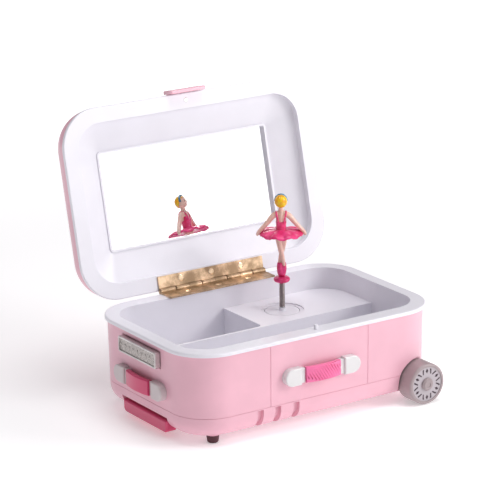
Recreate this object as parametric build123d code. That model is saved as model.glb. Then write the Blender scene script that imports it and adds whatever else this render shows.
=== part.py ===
from build123d import *
import os
from math import cos, pi, radians, sin

# Wind-up music box shaped like a toy suitcase, in millimetres.
# X runs along the case (the wheels are at +X), Y runs from front to back and Z is up.
# The origin is on the ground, under the centre of the case.

# ---- case -------------------------------------------------------------------------
LENGTH = 180.0            # over the tray rim
WIDTH = 118.4
RIM_TOP = 58.5            # top of the tray rim above the ground
CORNER_R = 26.9
RIM_T = 2.2
CASE_BOTTOM = 5.0
CASE_INSET = 1.6          # pink case behind the edge of the rim
CASE_TAPER = 0.9          # degrees
BOTTOM_R = 10.0           # rounding of the bottom edge
WALL = 1.8
SEAM_Z = 17.9             # joint between the upper case and the bottom pan
SEAM_GROOVE = 0.3
STRAP_X = 35.0
STRAP_GROOVE = 0.4
LUG_X = (-42.1, -29.8, -16.7)
LUG_WIDTH = 4.2
LUG_DEPTH = 2.4
LUG_BACKING = 2.6
LUG_TOP_GAP = 0.6         # land between the seam and the top of each groove
SCREW_FROM_END = 32.0     # the corner screws of the case, from its ends and sides
SCREW_FROM_SIDE = 23.2
MIDDLE_SCREW = (56.0, -5.0)
CASE_SCREW_R = 1.2
CASE_BOSS_R = 3.0
CASE_BOSS_MEET = 9.5      # height where the bosses of pan and tray meet
SCREW_HEAD_R = 2.0
SCREW_HEAD_SINK = 3.0     # depth of the screw seats above the bottom of the case

# ---- tray -------------------------------------------------------------------------
RIM_SIDE = 8.2            # rim width at the two ends
RIM_FRONT = 10.4          # rim width along front and back
OPENING_R = 18.0
TRAY_WALL = 1.8
TRAY_FLOOR_T = 1.8
POCKET_R = 3.0
PLATFORM_DROP = 14.0      # platform below the rim
PLATFORM_T = 1.6
DIVIDER_Y = 4.5
DIVIDER_X = 1.9

# ---- lid --------------------------------------------------------------------------
LID_OPEN = 103.0          # degrees from closed
LID_GAP = 2.6             # rim to rim when the lid is closed
LID_DEPTH = 20.0
LID_CORNER_R = 25.0
LID_ROUND = 14.0
LID_RIM_T = 2.0
LID_SHELL_INSET = 1.0
LID_RIM_WIDTH = 9.64
LID_OPENING_R = 17.5
LID_STEP = 4.5            # depth of the steep wall inside the rim
MIRROR_L = 121.35         # visible part of the mirror
MIRROR_W = 59.84
MIRROR_T = 1.8
MIRROR_LAP = 2.0
MIRROR_DEPTH = 13.35      # mirror face behind the lid's rim plane
MIRROR_LIP = 1.3
LIP_RISE = 0.8
LATCH_HALF = 13.0
LATCH_T = 2.3
LATCH_GAP = 0.4
LATCH_HOOK = 5.0
LATCH_RISE = 5.0
LID_SCREW_R = 1.5
LID_SCREW_INSET = 4.6

# ---- hinge ------------------------------------------------------------------------
HINGE_HALF = 38.5
KNUCKLE_CUTS = (-27.5, -17.9, -8.5, 1.3, 10.0, 19.7, 29.0)
KNUCKLE_R = 1.9
KNUCKLE_GAPS = (0.42, 0.12)   # each side of the wide cuts and of the narrow ones between them
HINGE_PIN_R = 0.9
LEAF_T = 1.0
LOWER_LEAF = 12.4         # reach of each leaf from the hinge axis
UPPER_LEAF = 9.2
HINGE_OUTSET = 0.2        # axis behind the edge of the rim
HINGE_SCREW_X = (-22.3, 0.0, 21.8)
HINGE_SCREW_R = 2.0
HINGE_SHANK_R = 1.05
LOWER_SCREW_REACH = 6.8
UPPER_SCREW_REACH = 6.0
SCREW_PROUD = 0.2
SCREW_SLOT = 0.45
HINGE_BOSS = 8.5
RUNNING = 0.05            # radial clearance of every shaft in its bearing

# ---- handles and nameplate --------------------------------------------------------
GRIP_HALF = 12.2
GRIP_HEIGHT = 9.6
GRIP_T = 3.5
GRIP_BOW = 1.6
GRIP_STANDOFF = 0.9
GRIP_RIBS = 13
RIB_DEPTH = 0.35
RIB_SLANT = 32.0          # degrees
CAP_INNER = 15.5
CAP_OUTER = 27.0
CAP_HEIGHT = 10.8
CAP_PROUD = 4.4
CAP_STEP_HEIGHT = 9.0
CAP_STEP_PROUD = 3.0
CAP_ROOT = 4.0            # how far the blanks of the caps reach into the case
CAP_GAP = 0.4
TONGUE = 1.8
FRONT_HANDLE_DROP = 24.2  # handles and nameplate below the rim
END_HANDLE_DROP = 29.9
HANDLE_SCREW_R = 0.9
HOLE_REACH = 6.0
PLATE_L = 42.0
PLATE_H = 9.9
PLATE_T = 3.6
PLATE_DROP = 10.8
PLATE_SEAT = 0.55         # groove round the nameplate
PLATE_SEAT_DEPTH = 0.8
PLATE_BORDER = 1.1
PLATE_RECESS = 0.9
PANEL_T = 0.6
BEAD_PITCH = 4.6
BEAD_R = 1.5

# ---- wheels, feet and trolley handle ----------------------------------------------
WHEEL_FROM_END = 17.8
WHEEL_R = 12.8
WHEEL_W = 13.5
WHEEL_OUTSET = 8.0        # wheel faces outside the case
WHEEL_CLEAR = 1.0
WHEEL_ROUND = 1.3
WHEEL_HOLLOW = 7.0        # depth of the hollow behind each wheel
AXLE_R = 1.5
AXLE_ROOM = 0.9           # between the axle and the tray above it
LABEL_INSET = 2.0         # print disc inside the edge of the wheel
LABEL_SINK = 0.5
LABEL_T = 0.6
HUB_R = 3.95
HUB_RISE = 1.5
FOOT_FROM_END = 22.0
FOOT_FROM_SIDE = 14.5
FOOT_R = 4.0
FOOT_TIP_R = 3.25
FOOT_PEG = 3.0
FOOT_PEG_R = 1.5
TROLLEY_HALF = 24.5
TROLLEY_SIDE_GAP = 1.0
TROLLEY_TOP = 10.6
TROLLEY_LOW = 2.8
TROLLEY_INSET = 2.5
TROLLEY_DEPTH = 8.0
TROLLEY_TRAVEL = 60.0
RECESS_TOP = 13.0
RECESS_DEPTH = 10.4
RECESS_WALL = 1.4
ROD_R = 1.4
ROD_Y = 17.0
ROD_Z = 8.6
GUIDE_T = 4.0
GUIDE_HALF = 3.2
STOP_BAR_T = 3.0

# ---- dancer -----------------------------------------------------------------------
DANCER_X = 29.2
DANCER_Y = 25.5
FACING = -33.0            # degrees: the dancer's own +Y is where she looks
TURNTABLE_R = 10.75
TURNTABLE_T = 1.5
RECESS_STEP_R = 13.5      # two-stepped round recess of the turntable in the platform
RECESS_STEP = 0.7
TURNTABLE_GAP = 0.4
TURNTABLE_FLOOR = 2.4     # floor of the recess below the platform
HUB_RISE_UP = 1.4         # top of the turntable's hub above the platform
BUSH_R = 4.0
BUSH_HOLE_R = 3.0
SPRING_R = 1.75
SPRING_WIRE = 0.6
SPRING_L = 16.4
BASE_R = 5.0
BASE_T = 3.5
SHOES_H = 9.2
LEGS = 30.2               # from the top of the spring
SKIRT_RISE = 32.0
SHOULDERS = 45.0
HEAD_RISE = 51.5
TUTU_R = 14.3
HEAD_R = 3.9
HAIR_TOP = 5.0            # above the middle of the head

# ---- movement ---------------------------------------------------------------------
DISH_R = 15.0
DISH_ROOF = 14.0
DISH_WALL = 1.6
KEY_LOW = 6.2
KEY_HALF = 11.0
KEY_T = 2.2
ARBOR_R = 2.0
SPINDLE_R = 1.2
BED_Z = 17.0
BED_T = 2.0
BARREL_LOW = 19.6
BARREL_HIGH = 31.0
BARREL_R = 12.4
BARREL_WALL = 1.2
CROWN_TEETH = 36
CROWN_MODULE = 0.8
CROWN_FACE = (13.2, 16.2)
CROWN_ROOT_Z = 21.4
TOOTH_ABOVE = 0.70
TOOTH_BELOW = 0.95
TOOTH_FILL = 0.40         # tooth thickness as a share of the pitch, which leaves backlash
CYL_Z = 28.0
CYL_R = 6.4
CYL_SPAN = (18.6, 38.6)   # the spans of the movement lie to the right of the dancer's axis
CYL_ARBOR_R = 1.2
PINION_TEETH = 14
PINION_SPAN = (14.2, 16.8)
TUNE_PIN_R = 0.28
TUNE_PIN_H = 0.65
END_TEETH = 32
FINE_MODULE = 0.5
END_SPAN = (39.2, 40.4)
IDLER_TEETH = 11
IDLER_R = 0.9
WORM_WHEEL_TEETH = 22
WORM_WHEEL_SPAN = (42.8, 44.8)
WORM_R = 1.9
WORM_CORE = 1.3
WORM_TIP = 2.3
WORM_TURNS = 5
PLATE_SPANS = ((17.1, 18.3), (45.8, 47.0))
FAN_Z = (33.0, 37.0)
FAN_R = 4.6
GOVERNOR_SHAFT_R = 0.6
COMB_TEETH = 18
COMB_PITCH = 1.1
COMB_TOOTH = 0.72
COMB_GAP = 0.35
COMB_T = 1.2
COMB_ROOT = 14.5          # screwed edge of the comb in front of the dancer's axis
COMB_SEAT = (-16.5, -12.5)
COMB_SCREW_R = 0.8
BED_SPAN = (-20.5, 50.5)  # edges of the bedplate from the dancer's axis, along X and along Y
BED_DEPTH = (-17.5, 21.5)
BED_CORNER = 16.0
BED_SCREWS = ((-16.0, 18.5), (21.5, 19.0), (48.0, -14.0), (10.0, -15.7))
BED_SCREW_R = 1.0
BED_BOSS_R = 2.6
PIN_R = 1.2
PIN_RISE = 3.0
PIN_FROM_FRONT = 5.8
PIN_GUIDE = 8.0
LEVER_Z = 13.4
LEVER_PIVOT_Y = -12.0
LEVER_PIVOT_HALF = 5.2
LEVER_POST_X = 3.6
WIRE_R = 0.6

# ---- derived places ---------------------------------------------------------------
HALF_L = LENGTH / 2
HALF_W = WIDTH / 2
CASE_TOP = RIM_TOP - RIM_T
PLATFORM_Z = RIM_TOP - PLATFORM_DROP
TRAY_UNDERSIDE = WHEEL_R + AXLE_R + AXLE_ROOM
CASE_SCREWS = ((SCREW_FROM_END - HALF_L, SCREW_FROM_SIDE - HALF_W), (HALF_L - SCREW_FROM_END, SCREW_FROM_SIDE - HALF_W),
               (SCREW_FROM_END - HALF_L, HALF_W - SCREW_FROM_SIDE), MIDDLE_SCREW)
FRONT_HANDLE_Z = RIM_TOP - FRONT_HANDLE_DROP
END_HANDLE_Z = RIM_TOP - END_HANDLE_DROP
PLATE_Z = RIM_TOP - PLATE_DROP
WHEEL_X = HALF_L - WHEEL_FROM_END
WHEEL_FACE_Y = HALF_W + WHEEL_OUTSET
LABEL_R = WHEEL_R - LABEL_INSET
FOOT_X = HALF_L - FOOT_FROM_END
FOOT_Y = HALF_W - FOOT_FROM_SIDE
TROLLEY_FRONT = HALF_L - TROLLEY_INSET
PIN_Y = HALF_W - PIN_FROM_FRONT
TRAY_FLOOR = TRAY_UNDERSIDE + TRAY_FLOOR_T
OPEN_L = LENGTH - 2 * RIM_SIDE
OPEN_W = WIDTH - 2 * RIM_FRONT
LID_PLANE = RIM_TOP + LID_GAP
HINGE_Y = HALF_W + HINGE_OUTSET
HINGE_Z = RIM_TOP + LID_GAP / 2
ARCH_R = WHEEL_R + WHEEL_CLEAR
WELL_Y = WHEEL_FACE_Y - WHEEL_W - WHEEL_CLEAR
PINION_R = PINION_TEETH * CROWN_MODULE / 2
IDLER_Y = DANCER_Y + (END_TEETH + IDLER_TEETH) * FINE_MODULE / 2
CYL_X, PINION_X, END_X, WORM_WHEEL_X, PLATE_LEFT_X, PLATE_RIGHT_X = (
    (DANCER_X + a, DANCER_X + b) for a, b in (CYL_SPAN, PINION_SPAN, END_SPAN, WORM_WHEEL_SPAN, *PLATE_SPANS))
GOVERNOR_X = sum(WORM_WHEEL_X) / 2
GOVERNOR_Y = IDLER_Y + WORM_WHEEL_TEETH * FINE_MODULE / 2 + WORM_R
RECESS_FLOOR = PLATFORM_Z - TURNTABLE_FLOOR
DISC_LOW = RECESS_FLOOR + 0.3
HUB_TOP = PLATFORM_Z + HUB_RISE_UP
HUB_POST_R = SPRING_R + 0.4
SPRING_TOP = HUB_TOP + SPRING_L
SHOES_TOP = SPRING_TOP + BASE_T + SHOES_H
LEG_TOP = SPRING_TOP + LEGS
TUTU_Z = SPRING_TOP + SKIRT_RISE
SHOULDER_Z = SPRING_TOP + SHOULDERS
HEAD_Z = SPRING_TOP + HEAD_RISE
HINGE_LINE = Axis((0, HINGE_Y, HINGE_Z), (1, 0, 0))


# ---- shapes used more than once -----------------------------------------------------
def block(x, y, z):
    """A box between two values on each axis."""
    size = (x[1] - x[0], y[1] - y[0], z[1] - z[0])
    return Pos((x[0] + x[1]) / 2, (y[0] + y[1]) / 2, (z[0] + z[1]) / 2) * Box(*size)


def pillar(x, y, z, radius, top_radius=None):
    """An upright round bar, tapered when a second radius is given."""
    if top_radius is None:
        solid = Cylinder(radius, z[1] - z[0])
    else:
        solid = Cone(radius, top_radius, z[1] - z[0])
    return Pos(x, y, (z[0] + z[1]) / 2) * solid


def centred(half, middle=0.0):
    return (middle - half, middle + half)


def bar_x(x, y, z, radius):
    return Pos((x[0] + x[1]) / 2, y, z) * Rot(0, 90, 0) * Cylinder(radius, x[1] - x[0])


def bar_y(x, y, z, radius):
    return Pos(x, (y[0] + y[1]) / 2, z) * Rot(90, 0, 0) * Cylinder(radius, y[1] - y[0])


def plate(length, width, radius, z):
    """A flat slab with rounded plan corners, centred on the case."""
    return extrude(Pos(0, 0, z[0]) * RectangleRounded(length, width, radius), z[1] - z[0])


def limb(a, b, radius_a, radius_b):
    """A tapered round limb between two points, with ball ends."""
    start, end = Vector(*a), Vector(*b)
    run = Plane(origin=start, z_dir=end - start)
    length = (end - start).length
    shaft = Cylinder(radius_a, length) if radius_a == radius_b else Cone(radius_a, radius_b, length)
    return run * Pos(0, 0, length / 2) * shaft + Pos(*a) * Sphere(radius_a) + Pos(*b) * Sphere(radius_b)


def gear(teeth, module, width, phase=0.0):
    """A spur gear about Z from z=0, with straight-flanked teeth; a tooth points to phase."""
    pitch_r = teeth * module / 2
    root_r = pitch_r - TOOTH_BELOW * module
    tip_r = pitch_r + TOOTH_ABOVE * module
    half = pi * module * TOOTH_FILL / 2
    slope = 0.30
    root_half = half + slope * (pitch_r - root_r)
    tip_half = half - slope * (tip_r - pitch_r)
    inner = root_r * 0.9
    tooth = Polygon((inner, -root_half), (tip_r, -tip_half), (tip_r, tip_half), (inner, root_half), align=None)
    outline = Circle(root_r) + [Rot(0, 0, phase + k * 360 / teeth) * tooth for k in range(teeth)]
    return extrude(outline, width)


def along_x(solid, x, y, z):
    """Turns a solid built about Z so that its axis lies along X, with its own X pointing down."""
    return Pos(x, y, z) * Rot(0, 90, 0) * solid


def domed_head(radius, shank_r, shank, proud):
    """A countersunk screw about Z with its face near z=0 and its shank below."""
    sink = radius - shank_r
    head = Pos(0, 0, -sink / 2) * Cone(shank_r, radius, sink)
    face = Pos(0, 0, proud / 2) * Cone(radius, radius * 0.7, proud)
    stem = Pos(0, 0, -(sink + shank) / 2) * Cylinder(shank_r, sink + shank)
    slot = Pos(0, 0, proud) * Box(2 * radius, SCREW_SLOT, proud)
    return head + face + stem - slot


# ---- case ---------------------------------------------------------------------------
def case_shape(inset=0.0):
    """The outer form of the case below the rim, moved inwards by an inset."""
    back = CASE_INSET + inset
    top = Pos(0, 0, CASE_TOP) * RectangleRounded(LENGTH - 2 * back, WIDTH - 2 * back, CORNER_R - back)
    solid = extrude(top, -(CASE_TOP - CASE_BOTTOM - inset), taper=CASE_TAPER)
    return fillet(solid.faces().sort_by(Axis.Z)[0].edges(), BOTTOM_R - inset)


def skin(depth):
    """The outermost layer of the case, for shallow grooves of even depth."""
    return case_shape() - case_shape(depth)


def both_sides(solid):
    return solid + mirror(solid, Plane.XZ)


def wheel_arch(radius, y_start):
    """The round space of each wheel, from y_start out past the case."""
    return both_sides(bar_y(WHEEL_X, (-HALF_W - WHEEL_W, -y_start), WHEEL_R, radius))


def hinge_notch():
    """Room for the hinge knuckles in both rims."""
    return bar_x((-HINGE_HALF - 0.3, HINGE_HALF + 0.3), HINGE_Y, HINGE_Z, KNUCKLE_R + 0.3)


def handle_screw_places():
    middle = (CAP_INNER + CAP_OUTER) / 2
    return (-middle, middle)


def shell_with_wells():
    """The hollow case with closed wheel wells, before it is cut at the seam."""
    outer = case_shape()
    shell = outer - case_shape(WALL)
    wells = wheel_arch(ARCH_R + DISH_WALL, WELL_Y - DISH_WALL) & outer
    return shell + wells - wheel_arch(ARCH_R, WELL_Y)


def make_case_body(shell):
    body = shell & block((-LENGTH, LENGTH), (-WIDTH, WIDTH), (SEAM_Z, CASE_TOP))
    grooves = block((-LENGTH, LENGTH), (-WIDTH, WIDTH), (SEAM_Z, SEAM_Z + SEAM_GROOVE))
    for x in (-STRAP_X, STRAP_X):
        strip = block((x - STRAP_GROOVE / 2, x + STRAP_GROOVE / 2), (-WIDTH, 0), (SEAM_Z, CASE_TOP))
        grooves = grooves + strip
    body = body - (skin(SEAM_GROOVE) & grooves)
    for x in handle_screw_places():
        body = body - bar_y(x, (-WIDTH, -HALF_W + HOLE_REACH), FRONT_HANDLE_Z, HANDLE_SCREW_R)
        body = body - bar_x((-LENGTH, -HALF_L + HOLE_REACH), x, END_HANDLE_Z, HANDLE_SCREW_R)
    seat = block((-LENGTH, case_end_x(PLATE_Z) + PLATE_SEAT_DEPTH), centred(PLATE_L / 2 + PLATE_SEAT),
                 (PLATE_Z - PLATE_H / 2 - PLATE_SEAT, PLATE_Z + PLATE_H / 2 + PLATE_SEAT))
    return body - seat - bar_y(WHEEL_X, (-WIDTH, WIDTH), WHEEL_R, AXLE_R)


def lug_grooves():
    """Three upright grooves in the lower front edge."""
    edge = -(HALF_W - CASE_INSET - BOTTOM_R)
    groove = Part()
    for x in LUG_X:
        groove = groove + block(centred(LUG_WIDTH / 2, x), (-WIDTH, edge), (0, SEAM_Z - LUG_TOP_GAP))
    return groove & skin(LUG_DEPTH)


def bed_screw_places():
    return [(DANCER_X + x, DANCER_Y + y) for x, y in BED_SCREWS]


def make_bottom_pan(shell):
    pan = shell & block((-LENGTH, LENGTH), (-WIDTH, WIDTH), (0, SEAM_Z))
    outer = case_shape()
    backing = (case_shape(WALL / 2) - case_shape(WALL + LUG_BACKING))
    lugs = (min(LUG_X) - LUG_WIDTH, max(LUG_X) + LUG_WIDTH)
    pan = pan + (backing & block(lugs, (-WIDTH, -HALF_W / 2), (0, SEAM_Z - LUG_TOP_GAP))) - lug_grooves()
    # pocket of the trolley handle, with the rod guides on its inner wall
    inner_x = -TROLLEY_FRONT + RECESS_DEPTH
    pocket_y = TROLLEY_HALF + TROLLEY_SIDE_GAP
    wall_y = pocket_y + RECESS_WALL
    pocket_wall = block((-LENGTH, inner_x + RECESS_WALL), centred(wall_y), (0, RECESS_TOP + RECESS_WALL)) & outer
    guides = Part()
    for y in (-ROD_Y, ROD_Y):
        guides = guides + block((inner_x, inner_x + GUIDE_T + RECESS_WALL), centred(GUIDE_HALF, y),
                                (CASE_BOTTOM + WALL / 2, ROD_Z + GUIDE_HALF))
    pan = pan + pocket_wall + guides - block((-LENGTH, inner_x), centred(pocket_y), (0, RECESS_TOP))
    for y in (-ROD_Y, ROD_Y):
        pan = pan - bar_x((-LENGTH, 0), y, ROD_Z, ROD_R + RUNNING)
    # dish round the winding key
    dish = pillar(DANCER_X, DANCER_Y, (CASE_BOTTOM, DISH_ROOF + DISH_WALL), DISH_R + DISH_WALL)
    pan = pan + dish - pillar(DANCER_X, DANCER_Y, (0, DISH_ROOF), DISH_R)
    pan = pan - pillar(DANCER_X, DANCER_Y, (0, BED_Z), ARBOR_R + RUNNING)
    for x, y in bed_screw_places():
        boss = pillar(x, y, (CASE_BOTTOM + WALL / 2, BED_Z), BED_BOSS_R)
        pan = pan + boss - pillar(x, y, (BED_Z - 6, BED_Z), BED_SCREW_R)
    for x, y in CASE_SCREWS:
        boss = pillar(x, y, (CASE_BOTTOM, CASE_BOSS_MEET), CASE_BOSS_R + 0.6)
        seat = pillar(x, y, (0, CASE_BOTTOM + SCREW_HEAD_SINK), SCREW_HEAD_R + 0.2)
        pan = pan + boss - pillar(x, y, (0, SEAM_Z), CASE_SCREW_R) - seat
    for y in (-FOOT_Y, FOOT_Y):
        pad = pillar(-FOOT_X, y, (CASE_BOTTOM, CASE_BOTTOM + 2 * WALL), FOOT_R + 0.6)
        pan = pan + pad - pillar(-FOOT_X, y, (0, CASE_BOTTOM + FOOT_PEG), FOOT_PEG_R)
    # posts of the stop lever's pivot
    for x in (-LEVER_POST_X, LEVER_POST_X):
        pan = pan + block(centred(1.2, x), centred(2, LEVER_PIVOT_Y), (CASE_BOTTOM + 1, LEVER_Z + 3 * WIRE_R))
    pan = pan - bar_x(centred(LEVER_PIVOT_HALF + 1), LEVER_PIVOT_Y, LEVER_Z, WIRE_R + RUNNING)
    pan = pan - bar_y(WHEEL_X, (-WIDTH, WIDTH), WHEEL_R, AXLE_R)
    return pan


def make_case_screws():
    screws = []
    for x, y in CASE_SCREWS:
        seat = CASE_BOTTOM + SCREW_HEAD_SINK
        head = pillar(x, y, (seat - 1.6, seat), SCREW_HEAD_R)
        shank = pillar(x, y, (seat, TRAY_UNDERSIDE - 0.4), CASE_SCREW_R)
        slot = block(centred(SCREW_HEAD_R + 0.2, x), centred(SCREW_SLOT / 2, y), (seat - 2, seat - 1))
        screws.append(head + shank - slot)
    return Compound(screws)


def make_foot(y):
    """A rubber foot with a peg that fills its hole in the pan."""
    foot = pillar(-FOOT_X, y, (0, CASE_BOTTOM), FOOT_TIP_R, FOOT_R)
    foot = chamfer(foot.faces().sort_by(Axis.Z)[0].edges(), 0.4)
    return foot + pillar(-FOOT_X, y, (CASE_BOTTOM - 0.5, CASE_BOTTOM + FOOT_PEG), FOOT_PEG_R)


# ---- tray ---------------------------------------------------------------------------
def opening(grow=0.0):
    return RectangleRounded(OPEN_L + 2 * grow, OPEN_W + 2 * grow, OPENING_R + grow)


def compartment(x, y, z):
    """The space of one compartment: the tray's opening, cut to a rectangle with small corners."""
    area = Pos((x[0] + x[1]) / 2, (y[0] + y[1]) / 2) * Rectangle(x[1] - x[0], y[1] - y[0])
    plan = opening() & area
    sharp = [v for v in plan.vertices() if min(abs(v.X - x[0]), abs(v.X - x[1])) < 0.01
             and min(abs(v.Y - y[0]), abs(v.Y - y[1])) < 0.01]
    return extrude(Pos(0, 0, z[0]) * fillet(sharp, POCKET_R), z[1] - z[0]) if sharp else \
        extrude(Pos(0, 0, z[0]) * plan, z[1] - z[0])


def make_inner_tray():
    rim = plate(LENGTH, WIDTH, CORNER_R, (CASE_TOP, RIM_TOP))
    rim = fillet(rim.faces().sort_by(Axis.Z)[-1].edges(), RIM_T * 0.4)
    tray = rim + extrude(Pos(0, 0, TRAY_UNDERSIDE) * opening(TRAY_WALL), CASE_TOP + 0.5 - TRAY_UNDERSIDE)
    far = LENGTH
    half_wall = TRAY_WALL / 2
    top = RIM_TOP + 1
    front = compartment((-far, far), (-far, DIVIDER_Y - half_wall), (TRAY_FLOOR, top))
    back = compartment((-far, DIVIDER_X - half_wall), (DIVIDER_Y + half_wall, far), (TRAY_FLOOR, top))
    above = extrude(Pos(0, 0, PLATFORM_Z) * opening(), top - PLATFORM_Z)
    chamber = block((DIVIDER_X + half_wall, far), (DIVIDER_Y + half_wall, far), (0, PLATFORM_Z - PLATFORM_T))
    tray = tray - front - back - above - chamber
    for x, y in CASE_SCREWS:
        boss = pillar(x, y, (CASE_BOSS_MEET, TRAY_FLOOR - TRAY_FLOOR_T / 2), CASE_BOSS_R)
        tray = tray + boss - pillar(x, y, (0, TRAY_UNDERSIDE), CASE_SCREW_R)
    cup = pillar(DANCER_X, DANCER_Y, (RECESS_FLOOR - PLATFORM_T, PLATFORM_Z - PLATFORM_T / 2), RECESS_STEP_R + PLATFORM_T)
    step = pillar(DANCER_X, DANCER_Y, (PLATFORM_Z - RECESS_STEP, RIM_TOP), RECESS_STEP_R)
    seat = pillar(DANCER_X, DANCER_Y, (RECESS_FLOOR, RIM_TOP), TURNTABLE_R + TURNTABLE_GAP)
    tray = tray + cup - step - seat - pillar(DANCER_X, DANCER_Y, (0, RIM_TOP), BUSH_R)
    for x in HINGE_SCREW_X:
        y = HINGE_Y - LOWER_SCREW_REACH
        boss = pillar(x, y, (RIM_TOP - HINGE_BOSS, CASE_TOP), HINGE_SCREW_R + 0.3)
        tray = tray + boss - pillar(x, y, (RIM_TOP - HINGE_BOSS + 0.5, RIM_TOP), HINGE_SHANK_R)
    guide = pillar(0, -PIN_Y, (RIM_TOP - PIN_GUIDE, CASE_TOP), PIN_R + 1.0)
    tray = tray + guide - pillar(0, -PIN_Y, (0, RIM_TOP + 1), PIN_R + RUNNING)
    return tray - hinge_notch()


# ---- lid, drawn closed and then opened ------------------------------------------------
def opened(solid):
    return solid.rotate(HINGE_LINE, -LID_OPEN)


def lid_form(inset):
    """Outer form of the pink lid shell, moved inwards by an inset."""
    side = LID_SHELL_INSET + inset
    low = LID_PLANE + LID_RIM_T
    high = LID_PLANE + LID_DEPTH - inset
    solid = plate(LENGTH - 2 * side, WIDTH - 2 * side, LID_CORNER_R - side, (low, high))
    return fillet(solid.faces().sort_by(Axis.Z)[-1].edges(), LID_ROUND - inset)


def make_lid_shell():
    shell = lid_form(0) - lid_form(WALL)
    post = pillar(0, LID_SCREW_INSET - HALF_W, (LID_PLANE + LID_RIM_T, LID_PLANE + LID_DEPTH * 0.6), 2.4)
    post = post & lid_form(WALL / 2)
    shell = shell + post - pillar(0, LID_SCREW_INSET - HALF_W, (LID_PLANE, LID_PLANE + 8), 1.0)
    return opened(shell - hinge_notch())


def funnel(grow, start, end):
    """The sloping space between the rim and the mirror frame, as one loft."""
    wide = RectangleRounded(LENGTH - 2 * LID_RIM_WIDTH + 2 * grow, WIDTH - 2 * LID_RIM_WIDTH + 2 * grow,
                            LID_OPENING_R + grow)
    narrow = RectangleRounded(MIRROR_L + 2 * (MIRROR_LIP + grow), MIRROR_W + 2 * (MIRROR_LIP + grow),
                              2.5 + grow)
    return loft([Pos(0, 0, start) * wide, Pos(0, 0, end) * narrow], ruled=True)


def make_lid_liner():
    rim = plate(LENGTH, WIDTH, LID_CORNER_R, (LID_PLANE, LID_PLANE + LID_RIM_T))
    rim = fillet(rim.faces().sort_by(Axis.Z)[0].edges(), LID_RIM_T * 0.35)
    step_z = LID_PLANE + LID_STEP
    floor_z = LID_PLANE + MIRROR_DEPTH - TRAY_WALL
    open_l, open_w = LENGTH - 2 * LID_RIM_WIDTH, WIDTH - 2 * LID_RIM_WIDTH
    wall = plate(open_l + 2 * TRAY_WALL, open_w + 2 * TRAY_WALL, LID_OPENING_R + TRAY_WALL,
                 (LID_PLANE + 0.2, step_z + TRAY_WALL / 2))
    liner = rim + wall + funnel(TRAY_WALL, step_z + TRAY_WALL / 2, LID_PLANE + MIRROR_DEPTH)
    liner = liner - plate(open_l, open_w, LID_OPENING_R, (LID_PLANE - 1, step_z))
    liner = liner - funnel(0, step_z, floor_z)
    lip = plate(MIRROR_L + 2 * MIRROR_LIP, MIRROR_W + 2 * MIRROR_LIP, 2.5, (floor_z - LIP_RISE, floor_z + 0.2))
    liner = liner + lip - plate(MIRROR_L, MIRROR_W, 1.2, (floor_z - 4, floor_z + 9))
    liner = liner - pillar(0, LID_SCREW_INSET - HALF_W, (LID_PLANE - 1, LID_PLANE + 8), 1.0)
    sink = LID_SCREW_R - 1.0
    liner = liner - pillar(0, LID_SCREW_INSET - HALF_W, (LID_PLANE, LID_PLANE + sink), LID_SCREW_R, 1.0)
    for x in HINGE_SCREW_X:
        liner = liner - pillar(x, HINGE_Y - UPPER_SCREW_REACH, (LID_PLANE - 1, LID_PLANE + 8), HINGE_SHANK_R)
    return opened(liner - hinge_notch())


def make_mirror():
    low = LID_PLANE + MIRROR_DEPTH
    return opened(plate(MIRROR_L + 2 * MIRROR_LAP, MIRROR_W + 2 * MIRROR_LAP, 2.0, (low, low + MIRROR_T)))


def make_lid_latch():
    """The pull at the front of the lid, which hooks down over the rim of the case."""
    front = -HALF_W - LATCH_GAP - LATCH_T
    hook = block((-LATCH_HALF, LATCH_HALF), (front, -HALF_W - LATCH_GAP),
                 (LID_PLANE - LATCH_HOOK, LID_PLANE + LATCH_RISE))
    hook = fillet(hook.edges().filter_by(Axis.Y), 1.6)
    hook = fillet(hook.faces().sort_by(Axis.Y)[0].edges(), 0.7)
    low = LID_PLANE + LID_RIM_T
    root = block((-LATCH_HALF + 2, LATCH_HALF - 2), (front + 1, -HALF_W + LID_SHELL_INSET + 2), (low, low + 2))
    return opened(hook + root - lid_form(0))


def make_lid_screw():
    screw = Rot(180, 0, 0) * domed_head(LID_SCREW_R, 1.0, 4.5, SCREW_PROUD)
    return opened(Pos(0, LID_SCREW_INSET - HALF_W, LID_PLANE) * screw)


# ---- hinge --------------------------------------------------------------------------
def knuckles(first):
    """Every second knuckle, starting with the first or the second one."""
    starts = [-HINGE_HALF] + [cut + KNUCKLE_GAPS[k % 2] for k, cut in enumerate(KNUCKLE_CUTS)]
    ends = [cut - KNUCKLE_GAPS[k % 2] for k, cut in enumerate(KNUCKLE_CUTS)] + [HINGE_HALF]
    return list(zip(starts, ends))[first::2]


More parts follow.
